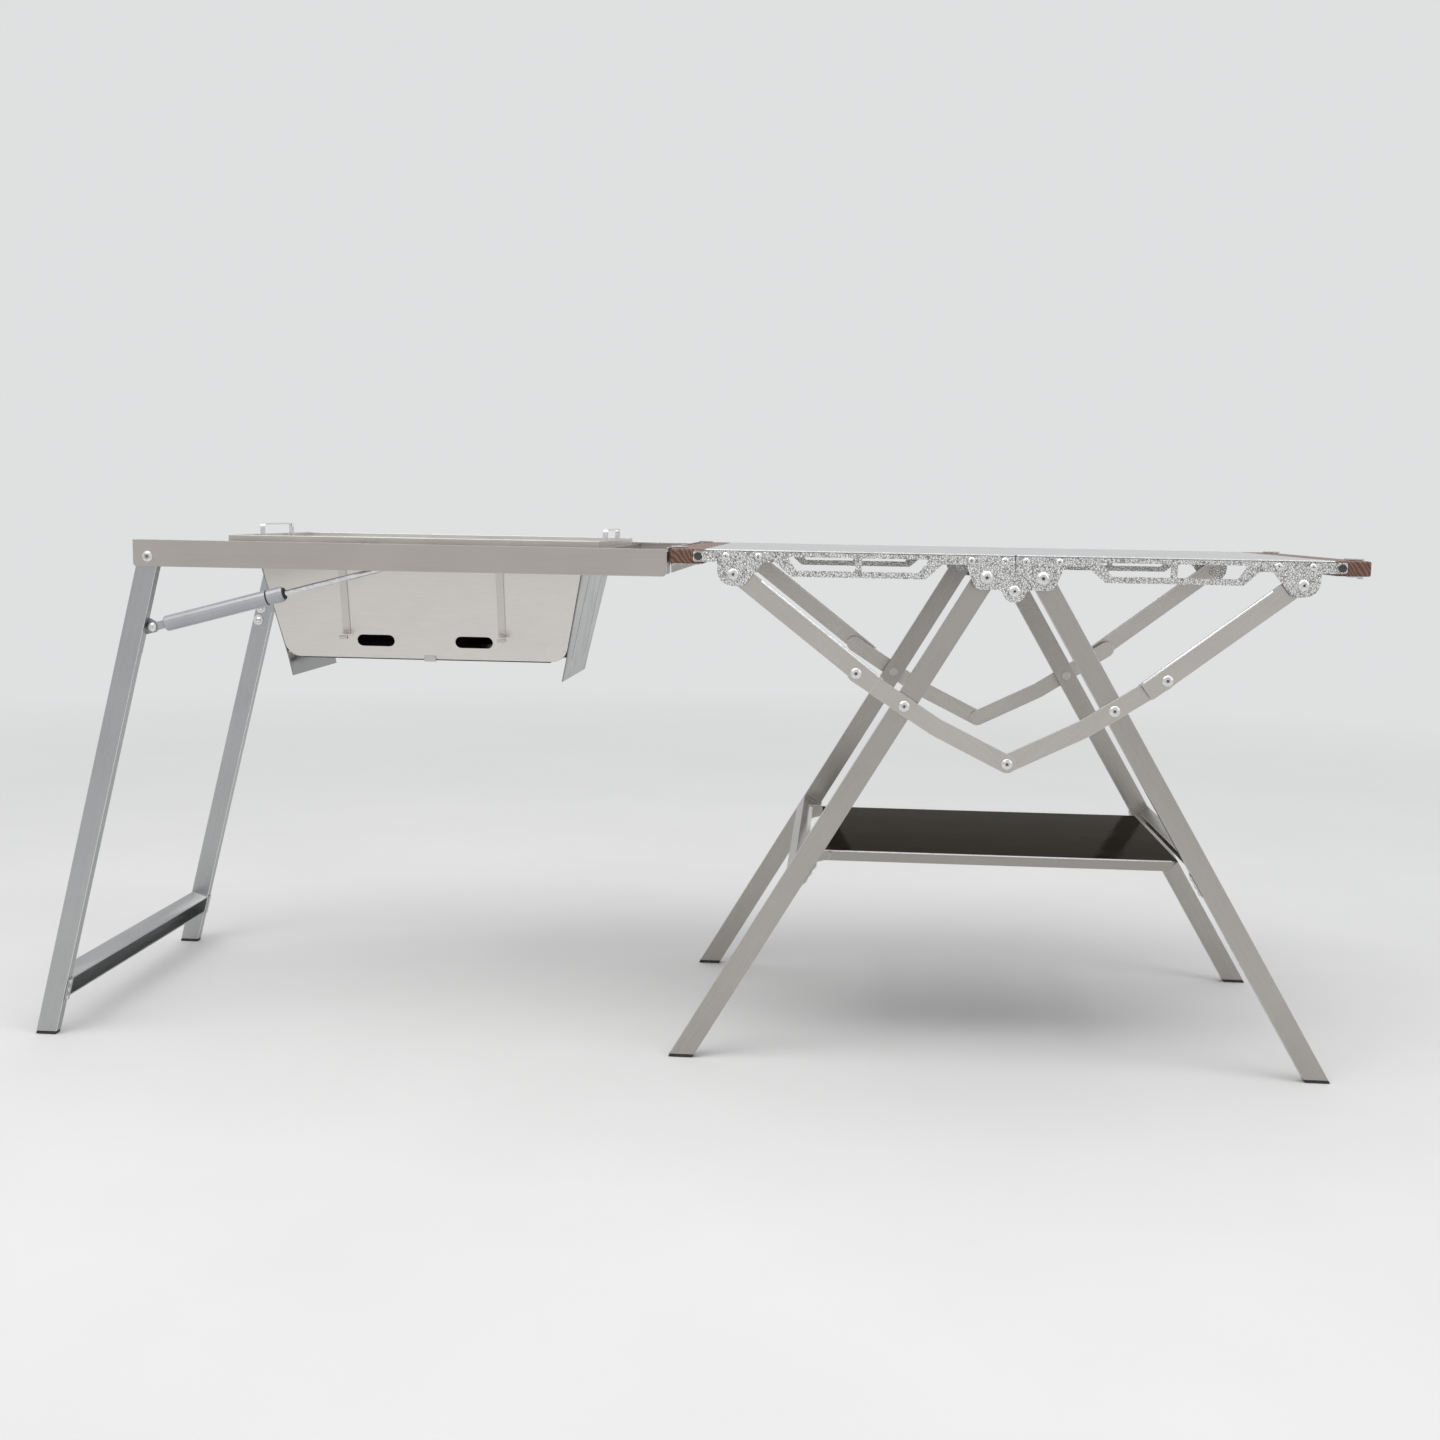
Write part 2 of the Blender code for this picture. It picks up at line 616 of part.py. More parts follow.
def build_top(hand):
    """A table top sheet with folded edges, the wood bar at its end and the clamps."""
    word = hand_word(hand)
    pivot = PIVOT_C if hand > 0 else mirrored(PIVOT_A, hand)

    def span(x0, x1):
        return (hand * x0, hand * x1)

    made = block(span(SEAM, SHEET_END), (-HALF_DEPTH, HALF_DEPTH), (TOP_Z - SHEET, TOP_Z))
    under = TOP_Z - SHEET + 0.4
    fold_end = SHEET_END - FOLD_SHORT
    fold_low, fold_high = TOP_Z - FOLD_DROP, TOP_Z - FOLD_CUT
    for side in (FRONT, REAR):
        fold = (side_y(PLATE + GAP, side), side_y(PLATE + GAP + SHEET, side))
        edge = [(FOLD_START, under), (FOLD_START, fold_low), (FOLD_CUT_X[0], fold_low),
                (FOLD_CUT_X[0] + 5, fold_high), (FOLD_CUT_X[1] - 5, fold_high), (FOLD_CUT_X[1], fold_low),
                (fold_end, fold_low), (fold_end, under)]
        fuse(made, prism([mirrored(p, hand) for p in edge], *fold))
    inner = HALF_DEPTH - 8
    fuse(made, block(span(FOLD_START, FOLD_START + SHEET), (-inner, inner), (fold_low + 1, under)))
    fuse(made, block(span(fold_end - SHEET, fold_end), (-inner, inner), (fold_low - 2, under)))
    finish(made, f"{word}_top_sheet", MIRROR, pivot)
    end_y = HALF_DEPTH - PLATE - GAP
    wood = block(span(*WOOD_X), (-end_y, end_y), WOOD_Z)
    finish(wood, f"{word}_wood_bar", WALNUT, pivot)
    for side_word, side in SIDES.items():
        finish(clamp(hand, side), f"{word}_bar_clamp_{side_word}", STEEL, pivot)


def clamp(hand, side):
    """A C-shaped clamp round the wood bar, with a domed stud on its outer web."""
    near = WOOD_X[1] + GAP
    far = near + CLAMP_T
    top = WOOD_Z[1] + GAP
    low = WOOD_Z[0] - GAP
    profile = [(far, low - CLAMP_T - 1.5), (far, top + CLAMP_T), (near - CLAMP_TOP, top + CLAMP_T),
               (near - CLAMP_TOP, top), (near, top), (near, low), (near - CLAMP_BOTTOM, low),
               (near - CLAMP_BOTTOM, low - CLAMP_T), (near, low - CLAMP_T), (near, low - CLAMP_T - 1.5)]
    middle, width = CLAMP_Y
    made = prism([mirrored(p, hand) for p in profile], side * (middle - width / 2), side * (middle + width / 2))
    head = STUD_OUT - 2.9
    stations = [(far - 0.5, STUD_NECK_R), (head, STUD_NECK_R), (head, STUD_R), (head + 1.0, STUD_R),
                (head + 2.2, STUD_R * 0.75), (STUD_OUT, STUD_R * 0.35)]
    return fuse(made, turned_x([(hand * x, r) for x, r in stations], side * middle, STUD_Z))


def build_brace(hand, side_word, side):
    """A bent angle from the outer lobe down to the link, pinned at E and riveted at K."""
    word = hand_word(hand)
    e, k = Vector(mirrored(PIVOT_E, hand)), Vector(mirrored(PIVOT_K, hand))
    u = (k - e).normalized()
    n = Vector((-u.y, u.x)) if u.x > 0 else Vector((u.y, -u.x))
    length = (k - e).length

    def spot(along, across):
        return e + u * along + n * across

    web = rounded([(*spot(-BRACE_LEAD, -BRACE_DOWN), 5), (*spot(-BRACE_LEAD, BRACE_UP), 5),
                   (*spot(length + BRACE_TAIL, BRACE_UP), 0), (*spot(length + BRACE_TAIL, -BRACE_DOWN), 1)])
    made = layer(web, BRACE_LAYER, side)
    t = BRACE_LAYER[1] - BRACE_LAYER[0]
    flange = [spot(0, BRACE_UP - t), spot(0, BRACE_UP), spot(length + BRACE_TAIL + 2, BRACE_UP),
              spot(length + BRACE_TAIL + 2, BRACE_UP - t)]
    fuse(made, layer(flange, (BRACE_LAYER[0], BRACE_FLANGE_D), side))
    fuse(made, disc(k, HEAD_R + 0.7, (BRACE_LAYER[1] - 0.4, BRACE_FLANGE_D), side))
    fuse(made, dome(k, HEAD_R, 1.3, BRACE_LAYER[0], side))
    cut(made, disc(e, PIN_R + GAP, (BRACE_LAYER[0] - 1, BRACE_LAYER[1] + 1), side))
    finish(made, f"{word}_brace_{side_word}", STEEL, e)


def build_link(hand, side_word, side):
    """A flat link over the leg, from the brace at K past the leg at M to the centre at D."""
    word = hand_word(hand)
    k, m, bend, d = (Vector(mirrored(p, hand)) for p in (PIVOT_K, PIVOT_M, LINK_BEND, PIVOT_D))
    depths = RIGHT_LINK_LAYER if hand > 0 else LEFT_LINK_LAYER
    made = layer(bar_outline((k, bend, d), LINK_W / 2), depths, side)
    if depths[1] < LEG_LAYER[0] - 2 * GAP:
        fuse(made, disc(m, 7.0, (depths[1] - 0.4, LEG_LAYER[0] - GAP), side))
        fuse(made, dome(d, HEAD_R, 1.2, depths[0], side))
    else:
        fuse(made, disc(k, HEAD_R + 0.7, (BRACE_FLANGE_D + GAP, depths[0] + 0.4), side))
    fuse(made, disc(m, PIN_R, (LEG_LAYER[0] - 1, LEG_LAYER[1] + 0.6), side))
    fuse(made, disc(m, HEAD_R, (LEG_LAYER[1] + GAP, LEG_LAYER[1] + 1.5), side))
    fuse(made, dome(m, HEAD_R, 1.6, depths[0], side))
    finish(made, f"{word}_link_{side_word}", STEEL, m)


# Extension frame

def prism_x(outline, x0, x1):
    """A solid with an outline in y and z, between two x planes."""
    bm = bmesh.new()
    face = bm.faces.new([bm.verts.new(to_world(x0, p[0], p[1])) for p in outline])
    grown = bmesh.ops.extrude_face_region(bm, geom=[face])
    moved = [v for v in grown["geom"] if isinstance(v, bmesh.types.BMVert)]
    bmesh.ops.translate(bm, verts=moved, vec=((x1 - x0) * MM, 0, 0))
    return solid(bm)


def build_rail(side_word, side):
    """A rail: a web with a top flange, the leg's pivot pin and the gas spring's stud."""
    left, right = RAIL_X
    low, high = RAIL_Z
    web = rounded([(left, high, 0.5), (right, high, 0.5), (right, low, 3), (left, low, 3)])
    made = layer(web, (0, RAIL_T), side)
    flange = [(left + 1, high - RAIL_T), (left + 1, high), (right - 1.5, high), (right - 1.5, high - RAIL_T)]
    fuse(made, layer(flange, (0.5, RAIL_T + RAIL_FLANGE), side))
    inner = EXT_LEG_LAYER[1]
    fuse(made, disc(EXT_PIVOT, PIN_R, (RAIL_T - 0.5, inner + 0.6), side))
    fuse(made, disc(EXT_PIVOT, HEAD_R, (inner + GAP, inner + 1.6), side))
    fuse(made, dome(EXT_PIVOT, HEAD_R, 1.7, 0.0, side))
    fuse(made, disc(GAS_STUD, 6.0, (RAIL_T - 0.5, 3.0), side))
    fuse(made, disc(GAS_STUD, 4.0, (2.5, 7.2), side))
    finish(made, f"extension_rail_{side_word}", SATIN)


def build_extension_frame():
    """The pieces between the rails: the hook plate and the two bars that carry the grill."""
    end_y = HALF_DEPTH - RAIL_T - GAP
    tall_y = HALF_DEPTH - RAIL_T - RAIL_FLANGE - 2 * GAP
    low, high = HOOK_Z
    hook = block(HOOK_X, (-end_y, end_y), (low, RAIL_Z[1] - RAIL_T - GAP))
    fuse(hook, block(HOOK_X, (-tall_y, tall_y), (low + 5, high)))
    slot_half = STUD_NECK_R + GAP
    for side in (FRONT, REAR):
        middle = side * CLAMP_Y[0]
        top = STUD_Z + slot_half
        slot = [(middle - slot_half, low - 1), (middle + slot_half, low - 1), (middle + slot_half, top),
                (middle - slot_half, top)]
        cut(hook, prism_x(slot, HOOK_X[0] - 1, HOOK_X[1] + 1))
        mouth = [(middle - slot_half - 5, low - 1), (middle + slot_half + 5, low - 1),
                 (middle + slot_half, low + 9), (middle - slot_half, low + 9)]
        cut(hook, prism_x(mouth, HOOK_X[0] - 1, HOOK_X[1] + 1))
    finish(hook, "extension_hook_plate", SATIN)
    seat_low = GRILL_Z[0] - GAP - RAIL_T
    for word, sign in (("left", -1), ("right", 1)):
        near = GRILL_X + sign * (GRILL_L / 2 + GAP)
        far = near + sign * RAIL_T
        bar = block((near, far), (-end_y, end_y), SUPPORT_Z)
        half = GRILL_W / 2
        angle = [(far, SUPPORT_Z[0] + 0.5), (far, seat_low), (near - sign * LEDGE, seat_low),
                 (near - sign * LEDGE, seat_low + RAIL_T), (near, seat_low + RAIL_T), (near, SUPPORT_Z[0] + 0.5)]
        fuse(bar, prism(angle, -half, half))
        finish(bar, f"grill_support_{word}", SATIN)


def ext_spot(across, down):
    """A point at a distance down an extension leg from its pivot, and across it towards plus x."""
    axis = (Vector((EXT_FOOT_X, 0)) - Vector(EXT_PIVOT)).normalized()
    return Vector(EXT_PIVOT) + axis * down + Vector((-axis.y, axis.x)) * across


def build_extension_legs():
    """Two folding legs with feet, the channel between them and the gas spring brackets."""
    foot = (EXT_FOOT_X, 0.0)
    for side_word, side in SIDES.items():
        leg = tube_leg(EXT_PIVOT, foot, EXT_LEG_LAYER, side, ((EXT_PIVOT, PIN_R + GAP),))
        finish(leg, f"extension_leg_{side_word}", PALE_STEEL, EXT_PIVOT)
        finish(rubber_foot(EXT_PIVOT, foot, EXT_LEG_LAYER, side), f"extension_foot_{side_word}", RUBBER, EXT_PIVOT)
        bracket_layer = (EXT_LEG_LAYER[1] + GAP, EXT_LEG_LAYER[1] + GAP + 1.5)
        across, down = GAS_EYE
        outline = [(-8, down - 5.5), (10, down - 7), (across, down - 5.5), (across + 5.5, down), (across + 3, down + 4.5),
                   (9.5, down + 9.5), (9.5, down + 28), (-8, down + 28)]
        bracket = layer([ext_spot(*p) for p in outline], bracket_layer, side)
        eye = ext_spot(*GAS_EYE)
        fuse(bracket, disc(eye, 2.5, (7.4, bracket_layer[1] - 0.5), side))
        fuse(bracket, disc(eye, 4.0, (6.9, 8.2), side))
        for distance in (down + 6.5, down + 21):
            fuse(bracket, dome(ext_spot(-3, distance), 3.6, 1.2, bracket_layer[1], side, True, 8))
        finish(bracket, f"gas_spring_bracket_{side_word}", PALE_STEEL, EXT_PIVOT)
    length = (Vector(EXT_PIVOT) - Vector(foot)).length
    low = length - EXT_BAR_R - EXT_BAR_W / 2
    bar = channel_bar(lambda along, across: along_leg(EXT_PIVOT, foot, along, across), low, low + EXT_BAR_W,
                      (-LEG_W / 2, LEG_W / 2), HALF_DEPTH - EXT_LEG_LAYER[1] - GAP)
    finish(bar, "extension_crossbar", PALE_STEEL, EXT_PIVOT)


def build_gas_spring(side_word, side):
    """A gas spring: cylinder with its eye on the leg bracket, and a rod that slides in it."""
    eye, stud = ext_spot(*GAS_EYE), Vector(GAS_STUD)
    axis = (stud - eye).normalized()
    normal = Vector((-axis.y, axis.x))
    y = side_y(GAS_D, side)
    r = CYLINDER_R
    start, end = CYLINDER_START, CYLINDER_START + CYLINDER_LENGTH
    profile = [(start, r - 1.5), (start + 1.5, r), (end - 17, r), (end - 16, r - 0.5), (end - 15, r), (end - 2, r),
               (end, r - 1.2)]
    cylinder = turned_between(eye, stud, y, profile, 16)
    neck = [eye + normal * 4, eye - normal * 4, eye + axis * (start + 1) - normal * 4, eye + axis * (start + 1) + normal * 4]
    eye_layer = (8.5, 11.8)
    tab = fuse(layer(neck, eye_layer, side), disc(eye, 5.0, eye_layer, side, 16))
    fuse(cylinder, tab)
    cut(cylinder, disc(eye, 2.8, (7, 13), side))
    bore = turned_between(eye, stud, y, [(start + 14, ROD_R + GAP), (end + 1, ROD_R + GAP)], 12)
    cut(cylinder, bore)
    finish(cylinder, f"gas_cylinder_{side_word}", CYLINDER_GREY, eye)
    reach = (stud - eye).length
    rod = turned_between(eye, stud, y, [(end - 20, ROD_R), (reach - 3, ROD_R)], 12)
    fuse(rod, disc(stud, 5.5, (7.5, 12.5), side, 16))
    finish(rod, f"gas_rod_{side_word}", PALE_STEEL, eye)


# Grill

def between(pair, z):
    """A half width of the firebox at a height, on the line from its top to its lower edge."""
    return pair[1] + (pair[0] - pair[1]) * (z - BOX_LOW_Z) / (BOX_TOP_Z - BOX_LOW_Z)


def leaning_panel(outline, offset, thickness, sign, along_x):
    """A plate whose outline stands on a leaning plane; offset gives its outer face for a z."""
    bm = bmesh.new()
    rings = []
    for shift in (0.0, -thickness):
        ring = []
        for p in outline:
            reach = sign * (offset(p[1]) + shift)
            spot = (GRILL_X + p[0], reach, p[1]) if along_x else (GRILL_X + reach, p[0], p[1])
            ring.append(bm.verts.new(to_world(*spot)))
        rings.append(ring)
    count = len(outline)
    for i in range(count):
        bm.faces.new((rings[0][i], rings[0][(i + 1) % count], rings[1][(i + 1) % count], rings[1][i]))
    bm.faces.new(rings[0])
    bm.faces.new(rings[1])
    return solid(bm)


def build_firebox():
    """The tapered firebox: leaning front, rear and end panels, floor and hanger straps."""
    top, low, foot = BOX_TOP_Z, BOX_LOW_Z, BOX_FOOT_Z
    length_x, height, middle_x, vent_z = VENT
    for word, sign in SIDES.items():
        corners = [(-BOX_HALF_L[0], top, 0), (BOX_HALF_L[0], top, 0), (BOX_HALF_L[1], low, 16), (-BOX_HALF_L[1], low, 16)]
        panel = leaning_panel(rounded(corners, 5), lambda z: between(BOX_HALF_W, z), BOX_T, sign, True)
        for x in (-middle_x, middle_x):
            x0, x1 = GRILL_X + x - length_x / 2, GRILL_X + x + length_x / 2
            z0, z1 = vent_z - height / 2, vent_z + height / 2
            r = height / 2 - 0.1
            vent = rounded([(x0, z0, r), (x1, z0, r), (x1, z1, r), (x0, z1, r)], 4)
            cut(panel, prism(vent, sign * 60, sign * 110))
        finish(panel, f"firebox_{word}", SATIN)
        for side_name, x in (("left", -STRAP_X), ("right", STRAP_X)):
            half = STRAP_W / 2
            strip = [(x - half, top), (x + half, top), (x + half, STRAP_LOW_Z), (x - half, STRAP_LOW_Z)]
            strap = leaning_panel(strip, lambda z: between(BOX_HALF_W, z) + GAP + 1.0, 1.0, sign, True)
            hook = [(x - half, STRAP_LOW_Z + 3), (x + half, STRAP_LOW_Z + 3), (x + half, STRAP_LOW_Z),
                    (x - half, STRAP_LOW_Z)]
            fuse(strap, leaning_panel(hook, lambda z: between(BOX_HALF_W, z) + GAP + 3.5, 3.0, sign, True))
            finish(strap, f"hanger_strap_{side_name}_{word}", SATIN)
    for word, sign in (("left", -1), ("right", 1)):
        wide = between(BOX_HALF_W, top) - BOX_T - GAP
        narrow = between(BOX_HALF_W, low) - BOX_T - GAP
        corners = [(-wide, top), (wide, top), (narrow, low), (narrow - 1.5, foot), (1.5 - narrow, foot), (-narrow, low)]
        panel = leaning_panel(corners, lambda z: between(BOX_HALF_L, z) + 1.5, BOX_T, sign, False)
        for y in (-43.0, 43.0):
            slit = [(y - 0.8, low), (y + 0.8, low), (y + 0.8, top - 8), (y - 0.8, top - 8)]
            x = GRILL_X + sign * 155
            cut(panel, prism_x(slit, x - 30, x + 30))
        finish(panel, f"firebox_end_{word}", MIRROR)
    floor_z = low + 4.0
    half_l = between(BOX_HALF_L, floor_z) + 1.5 - BOX_T - GAP
    half_w = between(BOX_HALF_W, floor_z) - BOX_T - 2 * GAP
    base = block((GRILL_X - half_l, GRILL_X + half_l), (-half_w, half_w), (floor_z, floor_z + BOX_T))
    finish(base, "firebox_floor", SATIN)


def build_grill_top():
    """The grill's top frame with its inner rim, and the slotted grate with its handles."""
    half_l, half_w = GRILL_L / 2, GRILL_W / 2
    low, high = GRILL_Z
    frame = block((GRILL_X - half_l, GRILL_X + half_l), (-half_w, half_w), (low, high))
    for inset, z0, z1 in ((GRILL_T, RIM_Z + GRILL_T, high + 1), (GRILL_T, low - 1, RIM_Z)):
        cut(frame, block((GRILL_X - half_l + inset, GRILL_X + half_l - inset), (-half_w + inset, half_w - inset),
                         (z0, z1)))
    open_l, open_w = BOX_HALF_L[0] - 2.5, BOX_HALF_W[0] - 2.5
    cut(frame, block((GRILL_X - open_l, GRILL_X + open_l), (-open_w, open_w), (low, high)))
    finish(frame, "grill_top_frame", SATIN)
    inset = GRILL_T + GAP
    z0 = RIM_Z + GRILL_T + GAP
    z1 = z0 + GRATE_T
    grate = block((GRILL_X - half_l + inset, GRILL_X + half_l - inset), (-half_w + inset, half_w - inset), (z0, z1))
    for row in range(GRATE_ROWS):
        y = (row - (GRATE_ROWS - 1) / 2) * GRATE_PITCH
        for x in GRATE_COLUMNS:
            left = GRILL_X - half_l + x
            slot = block((left, left + GRATE_SLOT[0]), (y - GRATE_SLOT[1] / 2, y + GRATE_SLOT[1] / 2), (z0 - 1, z1 + 1))
            cut(grate, slot)
    finish(grate, "cooking_grate", MIRROR)
    for word, sign in (("left", -1), ("right", 1)):
        half = HANDLE_LENGTH / 2
        top = high + HANDLE_RISE
        loop = [(-half, z1 + GAP, 0), (-half, top, 4), (half, top, 4), (half, z1 + GAP, 0), (half - HANDLE_T, z1 + GAP, 0),
                (half - HANDLE_T, top - HANDLE_T, 2.5), (HANDLE_T - half, top - HANDLE_T, 2.5),
                (HANDLE_T - half, z1 + GAP, 0)]
        x = GRILL_X + sign * (half_l - 3.0 - HANDLE_W / 2)
        handle = prism_x(rounded(loop), x - HANDLE_W / 2, x + HANDLE_W / 2)
        finish(handle, f"grate_handle_{word}", PALE_STEEL)


for hand_sign in (-1, 1):
    build_legs(hand_sign)
    build_top(hand_sign)
    for name_of_side, side_sign in SIDES.items():
        build_side_plate(hand_sign, name_of_side, side_sign)
        build_brace(hand_sign, name_of_side, side_sign)
        build_link(hand_sign, name_of_side, side_sign)
build_tray()
build_extension_frame()
build_extension_legs()
for name_of_side, side_sign in SIDES.items():
    build_rail(name_of_side, side_sign)
    build_gas_spring(name_of_side, side_sign)
build_firebox()
build_grill_top()

GAS_REST = (Vector(GAS_STUD) - ext_spot(*GAS_EYE))
EYE_FOLDED = Vector(EXT_PIVOT) + turn(ext_spot(*GAS_EYE) - Vector(EXT_PIVOT), EXT_FOLD)
GAS_FOLDED = Vector(GAS_STUD) - EYE_FOLDED
CYLINDER_TURN = angle_of(GAS_FOLDED) - angle_of(GAS_REST) - EXT_FOLD
print("main fold degrees", round(math.degrees(MAIN_FOLD), 4), "loop error", LOOP_ERROR)
print("right top ratio", round(-2 * TOP_TURN / MAIN_FOLD, 6))
print("link ratio, left", round((LINK_TURN * -1 - LEG_LEAN) / MAIN_FOLD, 6))
print("brace ratio, left", round((-BRACE_TURN - TOP_TURN) / MAIN_FOLD, 6))
print("cylinder ratio", round(CYLINDER_TURN / EXT_FOLD, 6))
print("rod metres per radian", round((GAS_FOLDED.length - GAS_REST.length) * MM / EXT_FOLD, 6))
for label, point in (("A", PIVOT_A), ("C", PIVOT_C), ("E", PIVOT_E), ("M", PIVOT_M), ("K", PIVOT_K),
                     ("T", TRAY_HINGE), ("X", EXT_PIVOT), ("G", ext_spot(*GAS_EYE)), ("S", GAS_STUD)):
    print("pivot", label, [round(v, 6) for v in to_world(point[0], 0, point[1])])
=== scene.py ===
"""Folding camp table with a hung grill extension: finishes, small fittings, stage and camera."""
import math

import bpy
from mathutils import Matrix, Vector


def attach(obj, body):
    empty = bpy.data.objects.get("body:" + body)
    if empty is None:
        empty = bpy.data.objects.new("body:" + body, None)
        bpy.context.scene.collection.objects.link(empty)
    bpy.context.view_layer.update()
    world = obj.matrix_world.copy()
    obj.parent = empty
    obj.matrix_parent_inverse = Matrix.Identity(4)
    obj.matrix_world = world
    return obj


bl_info = {
    "name": "Grill table finisher",
    "version": (1, 0, 0),
    "blender": (4, 5, 0),
    "location": "3D View > Sidebar > Grill table",
    "description": "Dresses the packed grill table: metal and wood finishes, rivets, fittings, stage",
    "category": "Object",
}

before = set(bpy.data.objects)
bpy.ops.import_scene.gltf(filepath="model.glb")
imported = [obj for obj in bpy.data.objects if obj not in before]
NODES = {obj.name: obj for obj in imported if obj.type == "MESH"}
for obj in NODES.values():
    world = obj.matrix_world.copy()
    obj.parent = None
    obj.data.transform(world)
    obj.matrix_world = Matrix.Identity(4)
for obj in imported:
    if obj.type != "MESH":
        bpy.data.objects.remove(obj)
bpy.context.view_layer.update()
FINISHES = {}

# Places are in millimetres: x and z from the table's middle line on the floor, y from its long middle
# plane. A pair is (x, z). Hand is -1 at the left and 1 at the right, side -1 at the front and 1 at the rear.
MM = 0.001
ORIGIN_X = 307.651      # the table's middle line, from the middle of the whole length
HANDS = (("left", -1), ("right", 1))
SIDES = (("front", -1), ("rear", 1))
HALF_DEPTH = 186.0      # to the outer faces of the side plates

# Legs, and the pivots of the linkage on the right hand
LEG_TOP, LEG_FOOT = (25.3, 467.0), (300.5, 0.0)
EXT_TOP, EXT_FOOT = (-811.2, 471.4), (-928.0, 0.0)
LEG_SLOPE = math.atan2(LEG_TOP[1], LEG_FOOT[0] - LEG_TOP[0])
EXT_SLOPE = math.atan2(EXT_TOP[1], EXT_TOP[0] - EXT_FOOT[0])
BRACE_SLOPE = math.radians(39)
BRACE_TOP, BRACE_LOW = (256.7, 465.5), (141.6, 376.2)
LINK_LEG, LINK_CENTRE = (96.3, 346.4), (0.0, 294.8)
GUSSET_LOW = (0.0, 455.0)
HEARTH = (-573.0, 0.0, 432.0)

# How far inward from the side plates the outer faces of braces and links lie
BRACE_DEPTH, LEFT_LINK_DEPTH, RIGHT_LINK_DEPTH = 3.4, 7.2, 9.5

# A rivet head: the share of its rise below the dome, then (inset, rise) as shares of the radius and of the
# dome's rise, and the same for the hole in it, as shares of the radius and of the whole rise
RIM_SHARE = 0.35
DOME_STEPS = ((0.14, 0.45), (0.18, 0.35), (0.2, 0.2), (0.08, -0.1))
HOLE_STEPS = ((0.02, -0.6), (0.1, 0.0), (0.02, 0.3))
PIN_RADIUS, PIN_HEIGHT, PIN_MIDDLE = 0.24, 0.94, 0.55      # the broken pin, as shares of the whole head
PLATE_RISE, TAB_RISE = 1.1, 1.3
PIVOT_RISE, LARGE_RISE, LARGE_HEAD = 1.7, 2.8, 1.18

PLATE_RIVET_X, PLATE_RIVET_Z = (264.0, 234.0, 39.5, 9.5), 482.0
# The body, its material slot, and for each rivet its hand, pivot, depth and whether its head is large
PIVOT_HEADS = (
    ("left_top", "hammered_steel",
     ((-1, LEG_TOP, 0.0, True), (-1, BRACE_TOP, 0.0, False), (1, GUSSET_LOW, 0.0, False))),
    ("right_top", "hammered_steel", ((1, LEG_TOP, 0.0, True), (1, BRACE_TOP, 0.0, False))),
    ("left_braces", "brace_steel", ((-1, BRACE_LOW, BRACE_DEPTH, False),)),
    ("right_braces", "brace_steel", ((1, BRACE_LOW, BRACE_DEPTH, False),)),
    ("left_links", "brace_steel",
     ((-1, LINK_LEG, LEFT_LINK_DEPTH, False), (1, LINK_CENTRE, LEFT_LINK_DEPTH, False))),
    ("right_links", "brace_steel", ((1, LINK_LEG, RIGHT_LINK_DEPTH, False),)),
    ("extension_frame", "rail_steel", ((1, EXT_TOP, 0.0, False),)),
)

# The crossbar tabs lie on the legs' narrow faces that look to the middle. For each pair of legs: the
# body, the leg's top and foot, its hand, the rivets' distances up the leg, and their y
TAB_FACE = 11.2
CROSSBAR_TABS = (
    ("left_leg_frame", (-LEG_TOP[0], LEG_TOP[1]), (-LEG_FOOT[0], 0.0), -1, (211.5, 219.5, 227.5), 169.0),
    ("right_leg_frame", LEG_TOP, LEG_FOOT, 1, (211.5, 219.5, 227.5), 169.0),
    ("extension_legs", EXT_TOP, EXT_FOOT, -1, (40.7, 48.7, 56.7), 179.0),
)

# Gas springs, from the eye on the leg's bracket to the stud on the rail
GAS_EYE, GAS_STUD, GAS_Y = (-811.42, 403.97), (-562.7, 470.7), 176.0
BRACKET_RIVETS, BRACKET_ACROSS = (413.66, 399.16), -3.0     # up the leg, and across it
BRACKET_FACE, EYE_FACE = 172.5, 179.1
BRACKET_HEAD, BRACKET_RISE = 3.6, 2.2
BOLT_HEAD, BOLT_RISE = 4.2, 1.8
WASHER_HEIGHT, WASHER_RADIUS, WASHER_BORE = 0.9, 5.8, 2.0
BORE_TAPER, BORE_SHARE = 0.01, 0.5      # a ring's bore goes half way through it
# Name, end it is measured from, start and end along the spring, radius, bore, edge, body, material slot
GAS_RINGS = (
    ("gas_rod_seal", GAS_EYE, 131.8, 133.6, 5.6, 3.2, 0.25, "gas_cylinders", "cylinder_grey"),
    ("gas_cylinder_groove", GAS_EYE, 115.7, 117.3, 7.4, 6.8, 0.1, "gas_cylinders", "cylinder_grey"),
    ("gas_ball_socket", GAS_STUD, -17.0, -4.0, 4.6, 2.6, 0.6, "gas_rods", "rod_chrome"),
)

